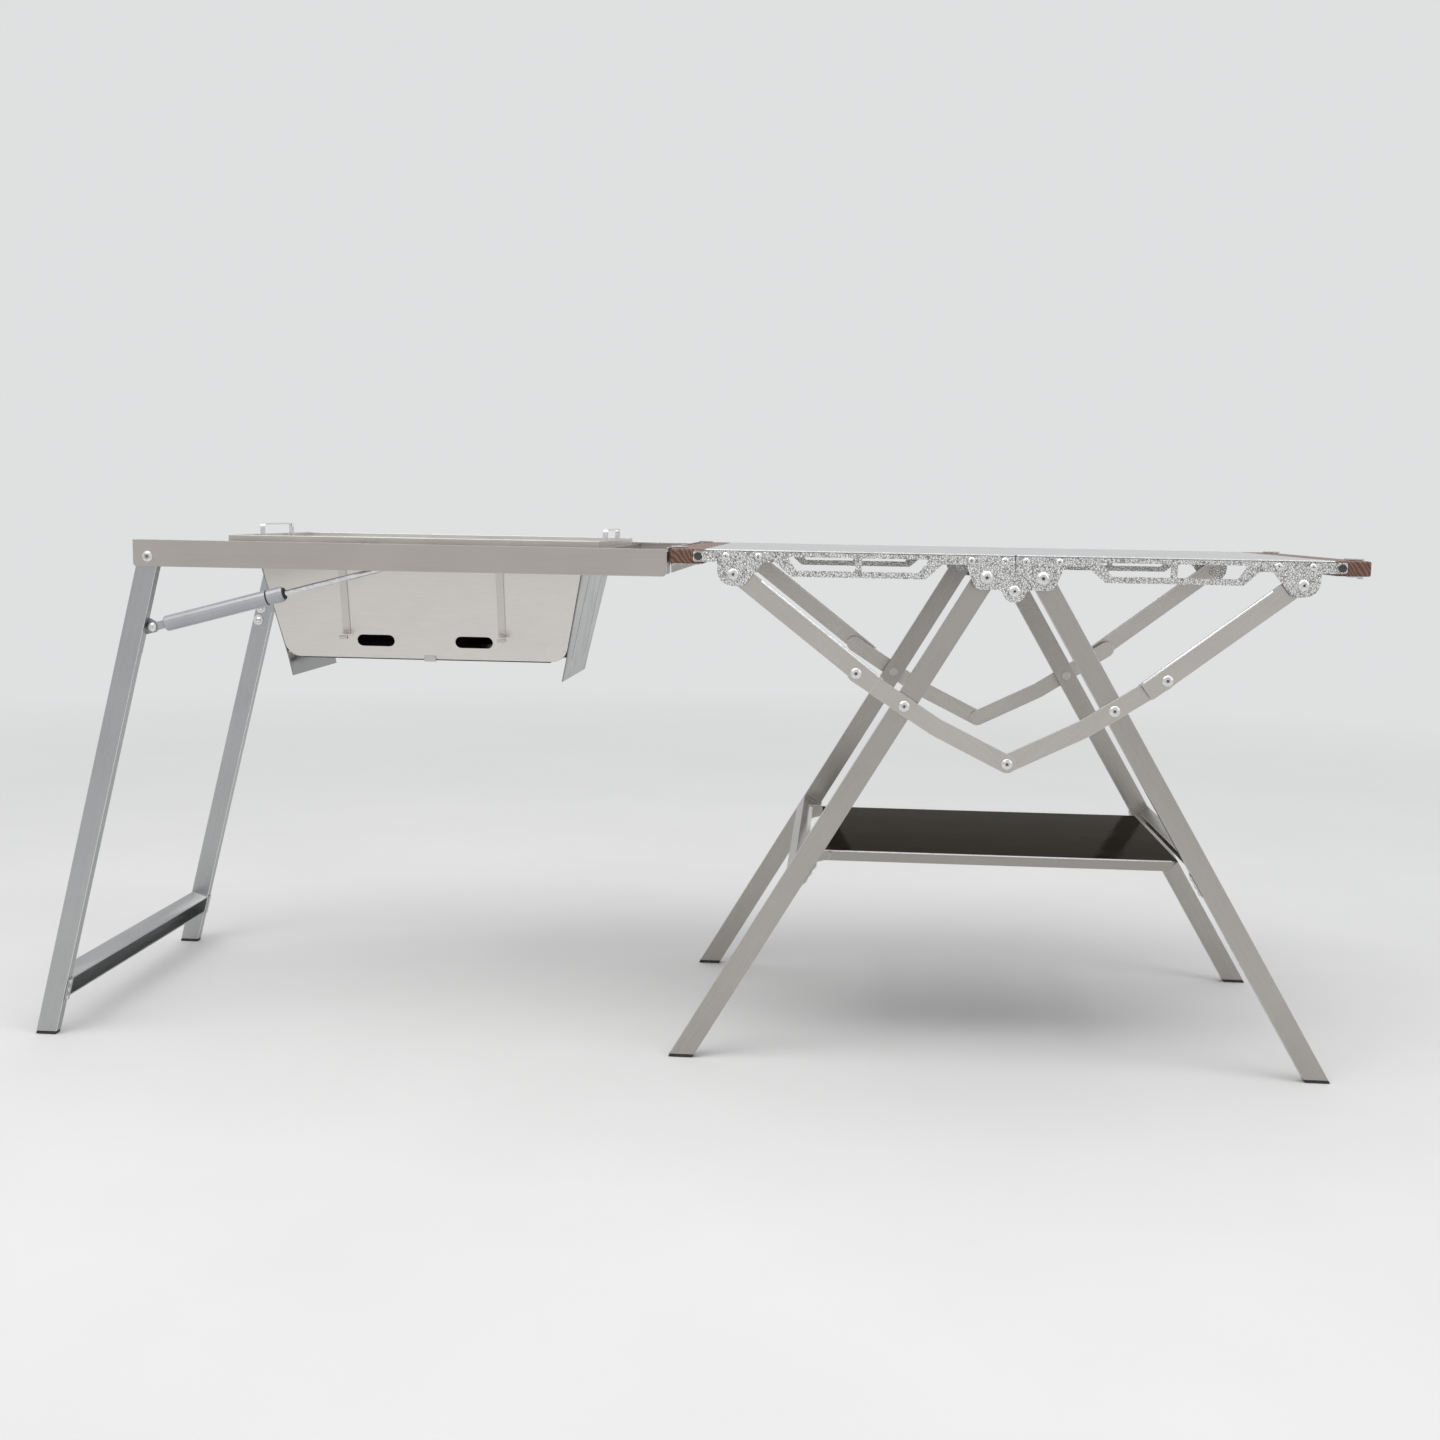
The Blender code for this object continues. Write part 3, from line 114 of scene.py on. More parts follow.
# Thin trim: two corners, and how far the edges are rounded
TRAY_BEAD = ((-171.0, 121.0, 196.0), (166.0, 122.5, 197.2), 0.45)
TOP_RIM = ((1.0, 184.6, 486.9), (282.5, 186.3, 488.15), 0.5)
TONGUE_SCREW = (289.5, 481.5)
SCREW_RADIUS, SCREW_HEIGHT = 3.6, 1.6
SOCKET_WALL, SOCKET_TAPER, SOCKET_DEPTH = 1.5, 0.1, 0.45
BRACE_FOLD_UP, BRACE_FOLD_DEPTH, BRACE_FOLD_RADIUS = 11.3, 3.5, 1.1
BRACE_FOLD_START, BRACE_FOLD_END = 24.0, 19.0               # past the upper and the lower pivot
FIREBOX_BARS = (
    ("firebox_locking_tab", (-574.6, -76.4, 367.6), (-562.6, -72.6, 373.0), 0.5, "strap"),
    ("strap_foot_left", (-657.0, -92.0, 389.8), (-648.6, -87.0, 393.2), 0.8, "strap"),
    ("strap_foot_right", (-497.0, -92.0, 389.8), (-488.6, -87.0, 393.2), 0.8, "strap"),
    ("firebox_lower_seam", (-700.0, -73.4, 368.9), (-446.0, -71.8, 370.2), 0.3, "mandrel"),
)

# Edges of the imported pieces, by a part of their name
WELD_GAP, FLAT_ANGLE = 1e-5, math.radians(0.6)
LOOKS_UP = 0.9          # the least upward part of a top face's normal
SHARP_ANGLE, SMOOTH_ANGLE = math.radians(40), math.radians(35)
EDGE_WIDTHS = (("leg_", 1.7), ("foot", 1.2), ("wood_bar", 1.6), ("rail_", 0.7), ("side_plate", 0.3),
               ("brace", 1.1), ("crossbar", 0.5), ("gas_cylinder", 0.4))
PLAIN_EDGE = 0.3
# Painted highlight: the near-white colour that brushed steel takes on its rounded edges
EDGE_PAINTED_HIGHLIGHT = (0.93, 0.92, 0.91)
# Painted shade: the near-black colour of the firebox's faces turned inward, for the dark inside of the box
INSIDE_SHADE_DARK, INSIDE_SHADE_LIGHT = (0.012, 0.011, 0.010), (0.03, 0.027, 0.025)

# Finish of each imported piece, by the start of its name
NODE_FINISHES = (
    ("left_leg_", "left leg"), ("right_leg_", "right leg"), ("left_foot", "rubber"), ("right_foot", "rubber"),
    ("extension_foot", "rubber"), ("left_crossbar", "crossbar"), ("right_crossbar", "crossbar"),
    ("left_top_sheet", "top"), ("right_top_sheet", "top"), ("left_side_plate", "hammered"),
    ("right_side_plate", "hammered"), ("left_wood_bar", "walnut"), ("right_wood_bar", "walnut"),
    ("left_bar_clamp", "clamp"), ("right_bar_clamp", "clamp"), ("left_brace", "left brace"),
    ("right_brace", "right brace"), ("left_link", "left brace"), ("right_link", "right brace"),
    ("lower_tray", "tray"), ("extension_rail", "rail"), ("extension_hook_plate", "rail"),
    ("grill_support", "rail"), ("extension_leg", "extension leg"),
    ("extension_crossbar", "extension crossbar"), ("gas_spring_bracket", "extension leg"),
    ("gas_cylinder", "cylinder"), ("gas_rod", "rod"),
    ("grill_top_frame", "grill frame"), ("firebox_front", "firebox"), ("firebox_rear", "firebox"),
    ("firebox_end", "end panel"), ("firebox_floor", "firebox"), ("hanger_strap", "strap"),
    ("cooking_grate", "grate"), ("grate_handle", "bright"),
)

# Stage, in metres and watts: each lamp's name, place, size, power and colour
BACKDROP = (0.74, 0.745, 0.75)
FLOOR_DARK, FLOOR_LIGHT = (0.66, 0.66, 0.655), (0.69, 0.69, 0.685)
FLOOR_SIZE = 40
FADE_NEAR, FADE_FAR = 0.75, 3.2
LAMP_AIM = (0, 0, 0.3)
LAMPS = (
    ("key_lamp", (-1.6, -2.2, 2.6), (2.2, 1.6), 14.0, (1.0, 0.985, 0.96)),
    ("fill_lamp", (2.6, -1.6, 1.6), (1.6, 2.0), 7.0, (0.95, 0.975, 1.0)),
    ("top_lamp", (0.2, 0.8, 2.8), (3.0, 1.2), 8.0, (1.0, 1.0, 1.0)),
    ("front_lamp", (0.1, -0.8, 2.3), (3.4, 1.1), 30.0, (1.0, 1.0, 1.0)),
)
CAMERA_PLACE = (0.15345, -1.7046, 0.5213)
CAMERA_YAW, CAMERA_PITCH, CAMERA_ROLL = math.radians(-4.230), math.radians(-7.158), math.radians(0.992)
CAMERA_LENS, CAMERA_SENSOR = 41.2275, 36.0


# Small helpers

def spot(x, y, z):
    """A point in metres from millimetres measured from the table's middle line on the floor."""
    return Vector(((x + ORIGIN_X) * MM, y * MM, z * MM))


def leg_spot(top, foot, along, across, y):
    """A point up a leg from its foot and across it towards plus x, and the direction across it."""
    up = Vector((top[0] - foot[0], top[1] - foot[1])).normalized()
    x, z = foot[0] + up.x * along + up.y * across, foot[1] + up.y * along - up.x * across
    return spot(x, y, z), Vector((up.y, 0, -up.x))


def deselect():
    """Leaves nothing selected and no object in edit mode."""
    if bpy.context.object and bpy.context.object.mode != "OBJECT":
        bpy.ops.object.mode_set(mode="OBJECT")
    bpy.ops.object.select_all(action="DESELECT")


def only(piece):
    """Makes this piece the selected and active one."""
    deselect()
    piece.select_set(True)
    bpy.context.view_layer.objects.active = piece


def primitive(kind, name, **settings):
    """Adds one of Blender's mesh primitives as the only selected object."""
    deselect()
    getattr(bpy.ops.mesh, f"primitive_{kind}_add")(**settings)
    piece = bpy.context.object
    piece.name = piece.data.name = name
    return piece


def step_top(piece, steps):
    """Insets the faces that look up and moves them by each (inset, rise) in turn, in millimetres."""
    only(piece)
    bpy.ops.object.mode_set(mode="EDIT")
    bpy.ops.mesh.select_mode(type="FACE")
    bpy.ops.mesh.select_all(action="DESELECT")
    bpy.ops.object.mode_set(mode="OBJECT")
    for face in piece.data.polygons:
        face.select = face.normal.z > LOOKS_UP
    bpy.ops.object.mode_set(mode="EDIT")
    for inset, rise in steps:
        bpy.ops.mesh.inset(thickness=inset * MM, depth=0)
        bpy.ops.transform.translate(value=Vector((0, 0, rise)) * MM)
    bpy.ops.object.mode_set(mode="OBJECT")


def add_bevel(piece, width, angle):
    """Adds a bevel over the edges sharper than the angle."""
    bevel = piece.modifiers.new("rounded edges", "BEVEL")
    bevel.width = width * MM
    bevel.segments = 2
    bevel.limit_method = "ANGLE"
    bevel.angle_limit = angle
    return bevel


def soften(piece, width):
    """Rounds the sharp edges and shades the rest smooth."""
    only(piece)
    bpy.ops.object.modifier_apply(modifier=add_bevel(piece, width, SMOOTH_ANGLE).name)
    bpy.ops.object.shade_smooth_by_angle(angle=SMOOTH_ANGLE)
    return piece


def settle(piece, body, finish):
    """Applies the place to the mesh, gives the finish and rides on the body."""
    only(piece)
    bpy.ops.object.transform_apply(location=True, rotation=True, scale=True)
    bpy.ops.object.mode_set(mode="EDIT")
    bpy.ops.mesh.select_all(action="SELECT")
    bpy.ops.mesh.remove_doubles(threshold=1e-6)
    bpy.ops.mesh.normals_make_consistent(inside=False)
    bpy.ops.object.mode_set(mode="OBJECT")
    piece.data.materials.clear()
    piece.data.materials.append(FINISHES[finish])
    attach(piece, body)
    deselect()


def place_mesh(piece, point, direction):
    """Moves a mesh made about the origin to a point, with its +Z axis in the direction."""
    turn = Vector(direction).to_track_quat("Z", "Y").to_matrix().to_4x4()
    piece.data.transform(Matrix.Translation(point) @ turn)


def copies(master, name, places):
    """One mesh piece made of copies of the master, each at its (point, direction of its +Z axis)."""
    made = []
    for point, direction in places:
        twin = master.copy()
        twin.data = master.data.copy()
        bpy.context.collection.objects.link(twin)
        place_mesh(twin, point, direction)
        made.append(twin)
    deselect()
    for twin in made:
        twin.select_set(True)
    bpy.context.view_layer.objects.active = made[0]
    if len(made) > 1:
        bpy.ops.object.join()
    piece = bpy.context.object
    piece.name = piece.data.name = name
    return piece


def discard(*pieces):
    """Removes helper objects."""
    for piece in pieces:
        bpy.data.objects.remove(piece, do_unlink=True)


# Parts of the finishes

def node(tree, kind, settings=(), **sockets):
    """Adds a shader node, with its settings and the values of its sockets."""
    made = tree.nodes.new(kind)
    for key, value in dict(settings).items():
        setattr(made, key, value)
    for key, value in sockets.items():
        made.inputs[key.replace("_", " ")].default_value = value
    return made


def new_finish(name, metallic, roughness):
    """A material with a Principled shader and nothing else."""
    made = bpy.data.materials.new(name)
    made.use_nodes = True
    tree = made.node_tree
    shader = tree.nodes["Principled BSDF"]
    shader.inputs["Metallic"].default_value = metallic
    shader.inputs["Roughness"].default_value = roughness
    return made, tree, shader


def coat(shader, weight, roughness):
    """A clear coat over the finish."""
    shader.inputs["Coat Weight"].default_value = weight
    shader.inputs["Coat Roughness"].default_value = roughness


def pattern_space(tree, size, grain=0.0):
    """Object coordinates divided by size, with the first axis along the grain's angle from the front."""
    place = node(tree, "ShaderNodeTexCoord")
    mapping = node(tree, "ShaderNodeMapping", {"vector_type": "TEXTURE"}, Rotation=(0, -grain, 0), Scale=size)
    tree.links.new(place.outputs["Object"], mapping.inputs["Vector"])
    return mapping.outputs["Vector"]


def noise(tree, size, grain=0.0, detail=3.0, rough=0.55, twist=0.0):
    """A noise value whose lumps have the given size in metres."""
    made = node(tree, "ShaderNodeTexNoise", Scale=1.0, Detail=detail, Roughness=rough, Distortion=twist)
    tree.links.new(pattern_space(tree, size, grain), made.inputs["Vector"])
    return made.outputs["Fac"]


def even(size):
    """The same size along all three axes."""
    return size, size, size


def math_node(tree, operation, first, second=None, clamp=False):
    """The result of a math node on one or two values."""
    made = node(tree, "ShaderNodeMath", {"operation": operation, "use_clamp": clamp})
    tree.links.new(first, made.inputs[0])
    if second is not None:
        tree.links.new(second, made.inputs[1])
    return made.outputs["Value"]


def vector_node(tree, operation, first, second=None):
    """A vector math node on one or two vectors."""
    made = node(tree, "ShaderNodeVectorMath", {"operation": operation})
    tree.links.new(first, made.inputs[0])
    if second is not None:
        tree.links.new(second, made.inputs[1])
    return made


def spread(tree, value, low, high, start=0.0, end=1.0):
    """The value mapped from start...end to low...high."""
    made = node(tree, "ShaderNodeMapRange", {"clamp": True})
    for key, number in (("From Min", start), ("From Max", end), ("To Min", low), ("To Max", high)):
        made.inputs[key].default_value = number
    tree.links.new(value, made.inputs["Value"])
    return made.outputs["Result"]


def tint(tree, value, *stops):
    """A colour ramp over the value; each stop is (place, colour)."""
    made = node(tree, "ShaderNodeValToRGB")
    ramp = made.color_ramp
    while len(ramp.elements) < len(stops):
        ramp.elements.new(0.5)
    for element, (place, colour) in zip(ramp.elements, stops):
        element.position = place
        element.color = (*colour, 1)
    tree.links.new(value, made.inputs["Fac"])
    return made.outputs["Color"]


def shade(colour, factor):
    """The colour made lighter or darker."""
    return tuple(min(1.0, c * factor) for c in colour)


def mottled(tree, value, colour, dark, light, start=0.3, end=0.7):
    """The colour from a darker to a lighter shade of itself, as the value goes from start to end."""
    return tint(tree, value, (start, shade(colour, dark)), (end, shade(colour, light)))


def mixed(tree, a, b, share=0.5, kind="MIX"):
    """Two colours mixed by a number or by a value of the tree."""
    made = node(tree, "ShaderNodeMix", {"data_type": "RGBA", "blend_type": kind})
    if isinstance(share, float):
        made.inputs["Factor"].default_value = share
    else:
        tree.links.new(share, made.inputs["Factor"])
    tree.links.new(a, made.inputs[6])
    tree.links.new(b, made.inputs[7])
    return made.outputs[2]


def vary_roughness(tree, shader, value, low, high, start=0.3, end=0.7):
    """The roughness from low to high, as the value goes from start to end."""
    tree.links.new(spread(tree, value, low, high, start, end), shader.inputs["Roughness"])


def bumped(tree, shader, height, strength, distance, below=None):
    """Bump from a height value, over an earlier bump if one is given."""
    made = node(tree, "ShaderNodeBump", Strength=strength, Distance=distance * MM)
    tree.links.new(height, made.inputs["Height"])
    if below is not None:
        tree.links.new(below, made.inputs["Normal"])
    tree.links.new(made.outputs["Normal"], shader.inputs["Normal"])
    return made.outputs["Normal"]


def turn_to_sides(tree):
    """How far a face looks to the front or the rear: 1 when it looks straight there."""
    place = node(tree, "ShaderNodeTexCoord")
    parts = node(tree, "ShaderNodeSeparateXYZ")
    tree.links.new(place.outputs["Normal"], parts.inputs["Vector"])
    return math_node(tree, "ABSOLUTE", parts.outputs["Y"])


def rounded_edges(tree):
    """Near 1 on the small rounds between the front or rear faces and the narrow ones, 0 elsewhere: where
    brushed steel gets its painted edge highlight.
    """
    turned = turn_to_sides(tree)
    return math_node(tree, "MULTIPLY", spread(tree, turned, 0.0, 0.85, 0.12, 0.3),
                     spread(tree, turned, 1.0, 0.0, 0.95, 0.99))


def upright_faces(tree):
    """1 on the faces that look to the front or rear, 0 on the others."""
    return spread(tree, turn_to_sides(tree), 0.0, 1.0, 0.6, 0.8)


def facing(tree, centre):
    """1 on faces turned towards a centre given in the piece's own coordinates, 0 on the others."""
    place = node(tree, "ShaderNodeTexCoord")
    inward = node(tree, "ShaderNodeVectorMath", {"operation": "SUBTRACT"})
    inward.inputs[0].default_value = centre
    tree.links.new(place.outputs["Object"], inward.inputs[1])
    along = vector_node(tree, "DOT_PRODUCT", inward.outputs["Vector"], place.outputs["Normal"])
    return spread(tree, along.outputs["Value"], 0.0, 1.0, 0.002, 0.008)


# Finishes

def brushed_steel(name, colour, grain=0.0, roughness=0.3, cross=False):
    """Brushed stainless steel with its grain along an angle seen from the front, or across it, with a painted
    highlight on its rounded edges.
    """
    made, tree, shader = new_finish(name, 1.0, roughness)
    size = (0.0011, 0.16, 0.0011) if cross else (0.16, 0.0011, 0.0011)
    streaks = noise(tree, size, grain, detail=4.0, rough=0.65)
    fine = noise(tree, tuple(s * 0.35 for s in size), grain, detail=2.0)
    clouds = noise(tree, (0.07, 0.05, 0.05), grain, detail=2.0)
    body = tint(tree, streaks, (0.28, shade(colour, 0.93)), (0.5, colour), (0.74, shade(colour, 1.06)))
    face = mixed(tree, body, mottled(tree, clouds, colour, 0.92, 1.06), 0.4)
    # Painted highlight on the rounded edges between the faces
    painted_highlight = tint(tree, clouds, (0.3, EDGE_PAINTED_HIGHLIGHT), (0.7, EDGE_PAINTED_HIGHLIGHT))
    tree.links.new(mixed(tree, face, painted_highlight, rounded_edges(tree)), shader.inputs["Base Color"])
    vary_roughness(tree, shader, fine, roughness - 0.05, roughness + 0.07, 0.25, 0.75)
    bumped(tree, shader, streaks, 0.1, 0.05)
    shader.inputs["Anisotropic"].default_value = 0.35
    return made


def mirror_sheet(name, colour, roughness, lip=None):
    """Rolled sheet polished to a soft mirror, with faint rolling lines, waviness and smudges; given a lip
    colour, its upright faces take it as painted light, lighter than the flat sheet.
    """
    made, tree, shader = new_finish(name, 1.0, roughness)
    lines = noise(tree, (0.22, 0.0009, 0.0009))
    smears = noise(tree, (0.05, 0.035, 0.035), 0.6, twist=0.8)
    waves = noise(tree, (0.11, 0.09, 0.09), detail=1.0)
    sheet = mixed(tree, mottled(tree, lines, colour, 0.92, 1.06),
                  mottled(tree, smears, colour, 0.9, 1.0, 0.35, 0.65))
    # Painted light: the upright faces take the lighter lip colour
    if lip is not None:
        shader.inputs["Specular Tint"].default_value = (*shade(lip, 0.75), 1)
        sheet = mixed(tree, sheet, mottled(tree, smears, lip, 0.95, 1.0, 0.35, 0.65), upright_faces(tree))
    tree.links.new(sheet, shader.inputs["Base Color"])
    vary_roughness(tree, shader, smears, roughness - 0.03, roughness + 0.09, 0.35)
    first = bumped(tree, shader, waves, 0.25, 1.2)
    bumped(tree, shader, lines, 0.08, 0.05, first)
    return made


def hammered_steel(name, colour):
    """Bright sheet embossed with a crinkled hammer pattern about 3 mm across, its colour carrying painted
    shade in the creases and a painted highlight on the crowns of the dents.
    """
    made, tree, shader = new_finish(name, 1.0, 0.2)
    bend = node(tree, "ShaderNodeTexNoise", Scale=1.0, Detail=2.0)
    tree.links.new(pattern_space(tree, even(0.0026)), bend.inputs["Vector"])
    push = vector_node(tree, "SCALE", bend.outputs["Color"])
    push.inputs["Scale"].default_value = 0.9
    moved = vector_node(tree, "ADD", pattern_space(tree, even(0.0021)), push.outputs["Vector"])
    cells = node(tree, "ShaderNodeTexVoronoi", {"feature": "DISTANCE_TO_EDGE"}, Scale=1.0, Randomness=1.0)
    tree.links.new(moved.outputs["Vector"], cells.inputs["Vector"])
    dents = spread(tree, cells.outputs["Distance"], 0.0, 1.0, 0.02, 0.26)
    fine = noise(tree, even(0.0009), detail=2.0)
    # Painted shade in the creases between the dents and a painted highlight on their crowns
    body = tint(tree, dents, (0.0, shade(colour, 0.36)), (0.35, shade(colour, 0.92)),
                (0.8, shade(colour, 1.3)))
    tree.links.new(body, shader.inputs["Base Color"])
    vary_roughness(tree, shader, dents, 0.38, 0.24, 0.0, 1.0)
    first = bumped(tree, shader, dents, 0.65, 0.42)
    bumped(tree, shader, fine, 0.1, 0.08, first)
    return made


def satin_steel(name, colour, roughness=0.36, hearth=None):
    """Cold-rolled sheet with a soft satin sheen; the faces turned to the hearth get painted shade for the
    dark inside of the box.
    """
    made, tree, shader = new_finish(name, 1.0, roughness)
    grit = noise(tree, (0.02, 0.0011, 0.0011), detail=4.0, rough=0.7)
    clouds = noise(tree, (0.09, 0.06, 0.06), 0.4, twist=0.5)
    sheet = mixed(tree, mottled(tree, grit, colour, 0.93, 1.05), mottled(tree, clouds, colour, 0.9, 1.05))
    if hearth is not None:
        # Painted shade on the faces turned to the hearth, for the dark inside of the box
        inside_shade = tint(tree, clouds, (0.3, INSIDE_SHADE_DARK), (0.7, INSIDE_SHADE_LIGHT))
        sheet = mixed(tree, sheet, inside_shade, facing(tree, hearth))
    tree.links.new(sheet, shader.inputs["Base Color"])
    vary_roughness(tree, shader, clouds, roughness - 0.05, roughness + 0.06)
    bumped(tree, shader, grit, 0.1, 0.05)
    return made


def walnut_wood(name, colour):
    """Oiled walnut: rings seen on the ends, long figure and pores on the sides."""
    made, tree, shader = new_finish(name, 0.0, 0.42)
    warp = noise(tree, (0.03, 0.22, 0.03))
    place = pattern_space(tree, (0.0058, 0.35, 0.0058), grain=math.radians(38))
    push = vector_node(tree, "SCALE", warp)
    push.inputs["Scale"].default_value = 3.2
    moved = vector_node(tree, "ADD", place, push.outputs["Vector"])
    rings = node(tree, "ShaderNodeTexWave", {"wave_type": "BANDS", "bands_direction": "X"},
                 Scale=0.5, Distortion=2.2, Detail=2.0, Detail_Scale=1.2)
    tree.links.new(moved.outputs["Vector"], rings.inputs["Vector"])
    pores = noise(tree, (0.0006, 0.018, 0.0006), detail=2.0, rough=0.7)
    body = tint(tree, rings.outputs["Fac"], (0.1, shade(colour, 0.6)), (0.45, colour),
                (0.9, shade(colour, 1.6)))
    specks = tint(tree, pores, (0.36, (0.35, 0.3, 0.28)), (0.5, (1, 1, 1)))
    tree.links.new(mixed(tree, body, specks, 0.75, "MULTIPLY"), shader.inputs["Base Color"])
    vary_roughness(tree, shader, pores, 0.62, 0.38, 0.3, 0.6)
    first = bumped(tree, shader, pores, 0.35, 0.15)
    bumped(tree, shader, rings.outputs["Fac"], 0.12, 0.1, first)
    coat(shader, 0.12, 0.35)
    return made


def painted_metal(name, colour):
    """Sprayed metallic grey paint with a slight orange peel."""
    made, tree, shader = new_finish(name, 0.55, 0.34)
    peel = noise(tree, even(0.0016), detail=2.0)
    clouds = noise(tree, even(0.04), detail=2.0)
    tree.links.new(mottled(tree, clouds, colour, 0.92, 1.06), shader.inputs["Base Color"])
    vary_roughness(tree, shader, peel, 0.29, 0.41)
    bumped(tree, shader, peel, 0.12, 0.08)
    coat(shader, 0.25, 0.2)
    return made


def moulded_rubber(name, colour):
    """Black moulded rubber, dull with a fine grain and dust."""
    made, tree, shader = new_finish(name, 0.0, 0.72)
    grit = noise(tree, even(0.0008))
    dust = noise(tree, (0.012, 0.012, 0.006))
    tree.links.new(mottled(tree, dust, colour, 1.0, 2.1, 0.4, 0.75), shader.inputs["Base Color"])
    vary_roughness(tree, shader, grit, 0.62, 0.82)
    bumped(tree, shader, grit, 0.3, 0.12)
    return made


def bright_steel(name, colour, roughness):
    """Bright plated or drawn steel, for rods, rivets and studs."""
    made, tree, shader = new_finish(name, 1.0, roughness)
    marks = noise(tree, even(0.003))
    fine = noise(tree, even(0.0006), detail=2.0)
    tree.links.new(mottled(tree, marks, colour, 0.86, 1.05), shader.inputs["Base Color"])
    vary_roughness(tree, shader, marks, roughness - 0.04, roughness + 0.1)
    bumped(tree, shader, fine, 0.1, 0.05)
    return made


def make_finishes():
    """All the finishes by name, in the colours of the panel."""
    look = bpy.context.scene.grill_table_colours
    steel, cool, dark = tuple(look.leg_steel), tuple(look.cool_steel), tuple(look.dark_sheet)
    hearth = NODES["firebox_front"].matrix_world.inverted() @ spot(*HEARTH)
    return {
        "left leg": brushed_steel("brushed_left_leg", steel, LEG_SLOPE),
        "right leg": brushed_steel("brushed_right_leg", steel, -LEG_SLOPE),
        # The braces and links take the leg steel a quarter lighter, a painted highlight for how brightly
        # their faces catch the light
        "left brace": brushed_steel("brushed_left_brace", shade(steel, 1.25), -BRACE_SLOPE),
        "right brace": brushed_steel("brushed_right_brace", shade(steel, 1.25), BRACE_SLOPE),
        "crossbar": brushed_steel("brushed_crossbar", shade(steel, 0.92), cross=True),
        "rail": brushed_steel("brushed_rail", tuple(look.rail_steel), roughness=0.34),
        "extension leg": brushed_steel("brushed_extension_leg", cool, EXT_SLOPE),
        "extension crossbar": brushed_steel("brushed_extension_crossbar", shade(cool, 0.95), cross=True),
        "top": mirror_sheet("polished_table_top", (0.52, 0.53, 0.53), 0.17),
        # The tray's upright lips are painted lighter than its dark flat floor
        "tray": mirror_sheet("dark_mirror_tray", shade(dark, 0.4), 0.07, lip=shade(steel, 0.8)),
        "end panel": mirror_sheet("dark_mirror_end_panel", shade(dark, 1.05), 0.16),
        "grate": mirror_sheet("polished_grate", (0.72, 0.72, 0.71), 0.2),
        "hammered": hammered_steel("hammered_side_plate", tuple(look.hammered_plate)),
        "firebox": satin_steel("satin_firebox", (0.70, 0.67, 0.64), hearth=hearth),
        "strap": satin_steel("satin_strap", (0.60, 0.575, 0.55)),
        "grill frame": satin_steel("satin_grill_frame", (0.66, 0.63, 0.60), 0.3),
        "clamp": bright_steel("bright_clamp", (0.66, 0.66, 0.65), 0.22),
        "bright": bright_steel("bright_rivet", (0.78, 0.78, 0.77), 0.18),
        # Near-white steel for the rims, beads and brace folds: a painted highlight along these edges
        "rim": bright_steel("painted_highlight_rim", (0.97, 0.97, 0.96), 0.3),
        "rod": bright_steel("chromed_rod", (0.72, 0.73, 0.75), 0.08),
        "cylinder": painted_metal("sprayed_gas_cylinder", tuple(look.cylinder_paint)),
        "rubber": moulded_rubber("black_rubber", (0.018, 0.018, 0.019)),
        "walnut": walnut_wood("oiled_walnut", tuple(look.walnut)),
        "mandrel": bright_steel("dark_mandrel", (0.10, 0.10, 0.10), 0.4),
    }


class GrillTableColours(bpy.types.PropertyGroup):
    """Colours of the finishes."""
    leg_steel: bpy.props.FloatVectorProperty(
        name="Leg steel", description="Brushed steel of legs, braces and links",
        subtype="COLOR", default=(0.44, 0.42, 0.395), min=0, max=1)
    cool_steel: bpy.props.FloatVectorProperty(
        name="Extension steel", description="Cooler brushed steel of the extension legs",
        subtype="COLOR", default=(0.45, 0.455, 0.46), min=0, max=1)
    rail_steel: bpy.props.FloatVectorProperty(
        name="Rail steel", description="Warm brushed steel of the extension's rails",
        subtype="COLOR", default=(0.50, 0.465, 0.435), min=0, max=1)
    dark_sheet: bpy.props.FloatVectorProperty(
        name="Dark sheet", description="Mirror sheet of the tray and firebox ends",
        subtype="COLOR", default=(0.27, 0.275, 0.27), min=0, max=1)
    hammered_plate: bpy.props.FloatVectorProperty(
        name="Side plate", description="Bright embossed sheet of the side plates",
        subtype="COLOR", default=(0.60, 0.60, 0.585), min=0, max=1)
    walnut: bpy.props.FloatVectorProperty(
        name="Walnut", description="Oiled walnut of the end bars",
        subtype="COLOR", default=(0.135, 0.062, 0.04), min=0, max=1)
    cylinder_paint: bpy.props.FloatVectorProperty(
        name="Gas spring paint", description="Sprayed grey of the gas cylinders",
        subtype="COLOR", default=(0.41, 0.42, 0.44), min=0, max=1)


class GrillTableFittings(bpy.types.PropertyGroup):
    """Sizes of the small fittings."""
    plate_rivet: bpy.props.FloatProperty(
        name="Plate rivet radius", description="Radius of the rivets that hold the side plates",
        unit="LENGTH", default=0.0032, min=0.001, max=0.01)
    pivot_rivet: bpy.props.FloatProperty(
        name="Pivot rivet radius", description="Radius of the rivets at the pivots of links and braces",
        unit="LENGTH", default=0.005, min=0.001, max=0.01)
    tab_rivet: bpy.props.FloatProperty(
        name="Tab rivet radius", description="Radius of the rivets that hold the crossbar tabs",
        unit="LENGTH", default=0.0023, min=0.001, max=0.01)


# Makers of fittings

def stub(name, sides, radius, height):
    """A cylinder that stands on z = 0, its sizes in metres."""
    piece = primitive("cylinder", name, vertices=sides, radius=radius, depth=height,
                      location=(0, 0, height / 2))
    bpy.ops.object.transform_apply(location=True)
    return piece


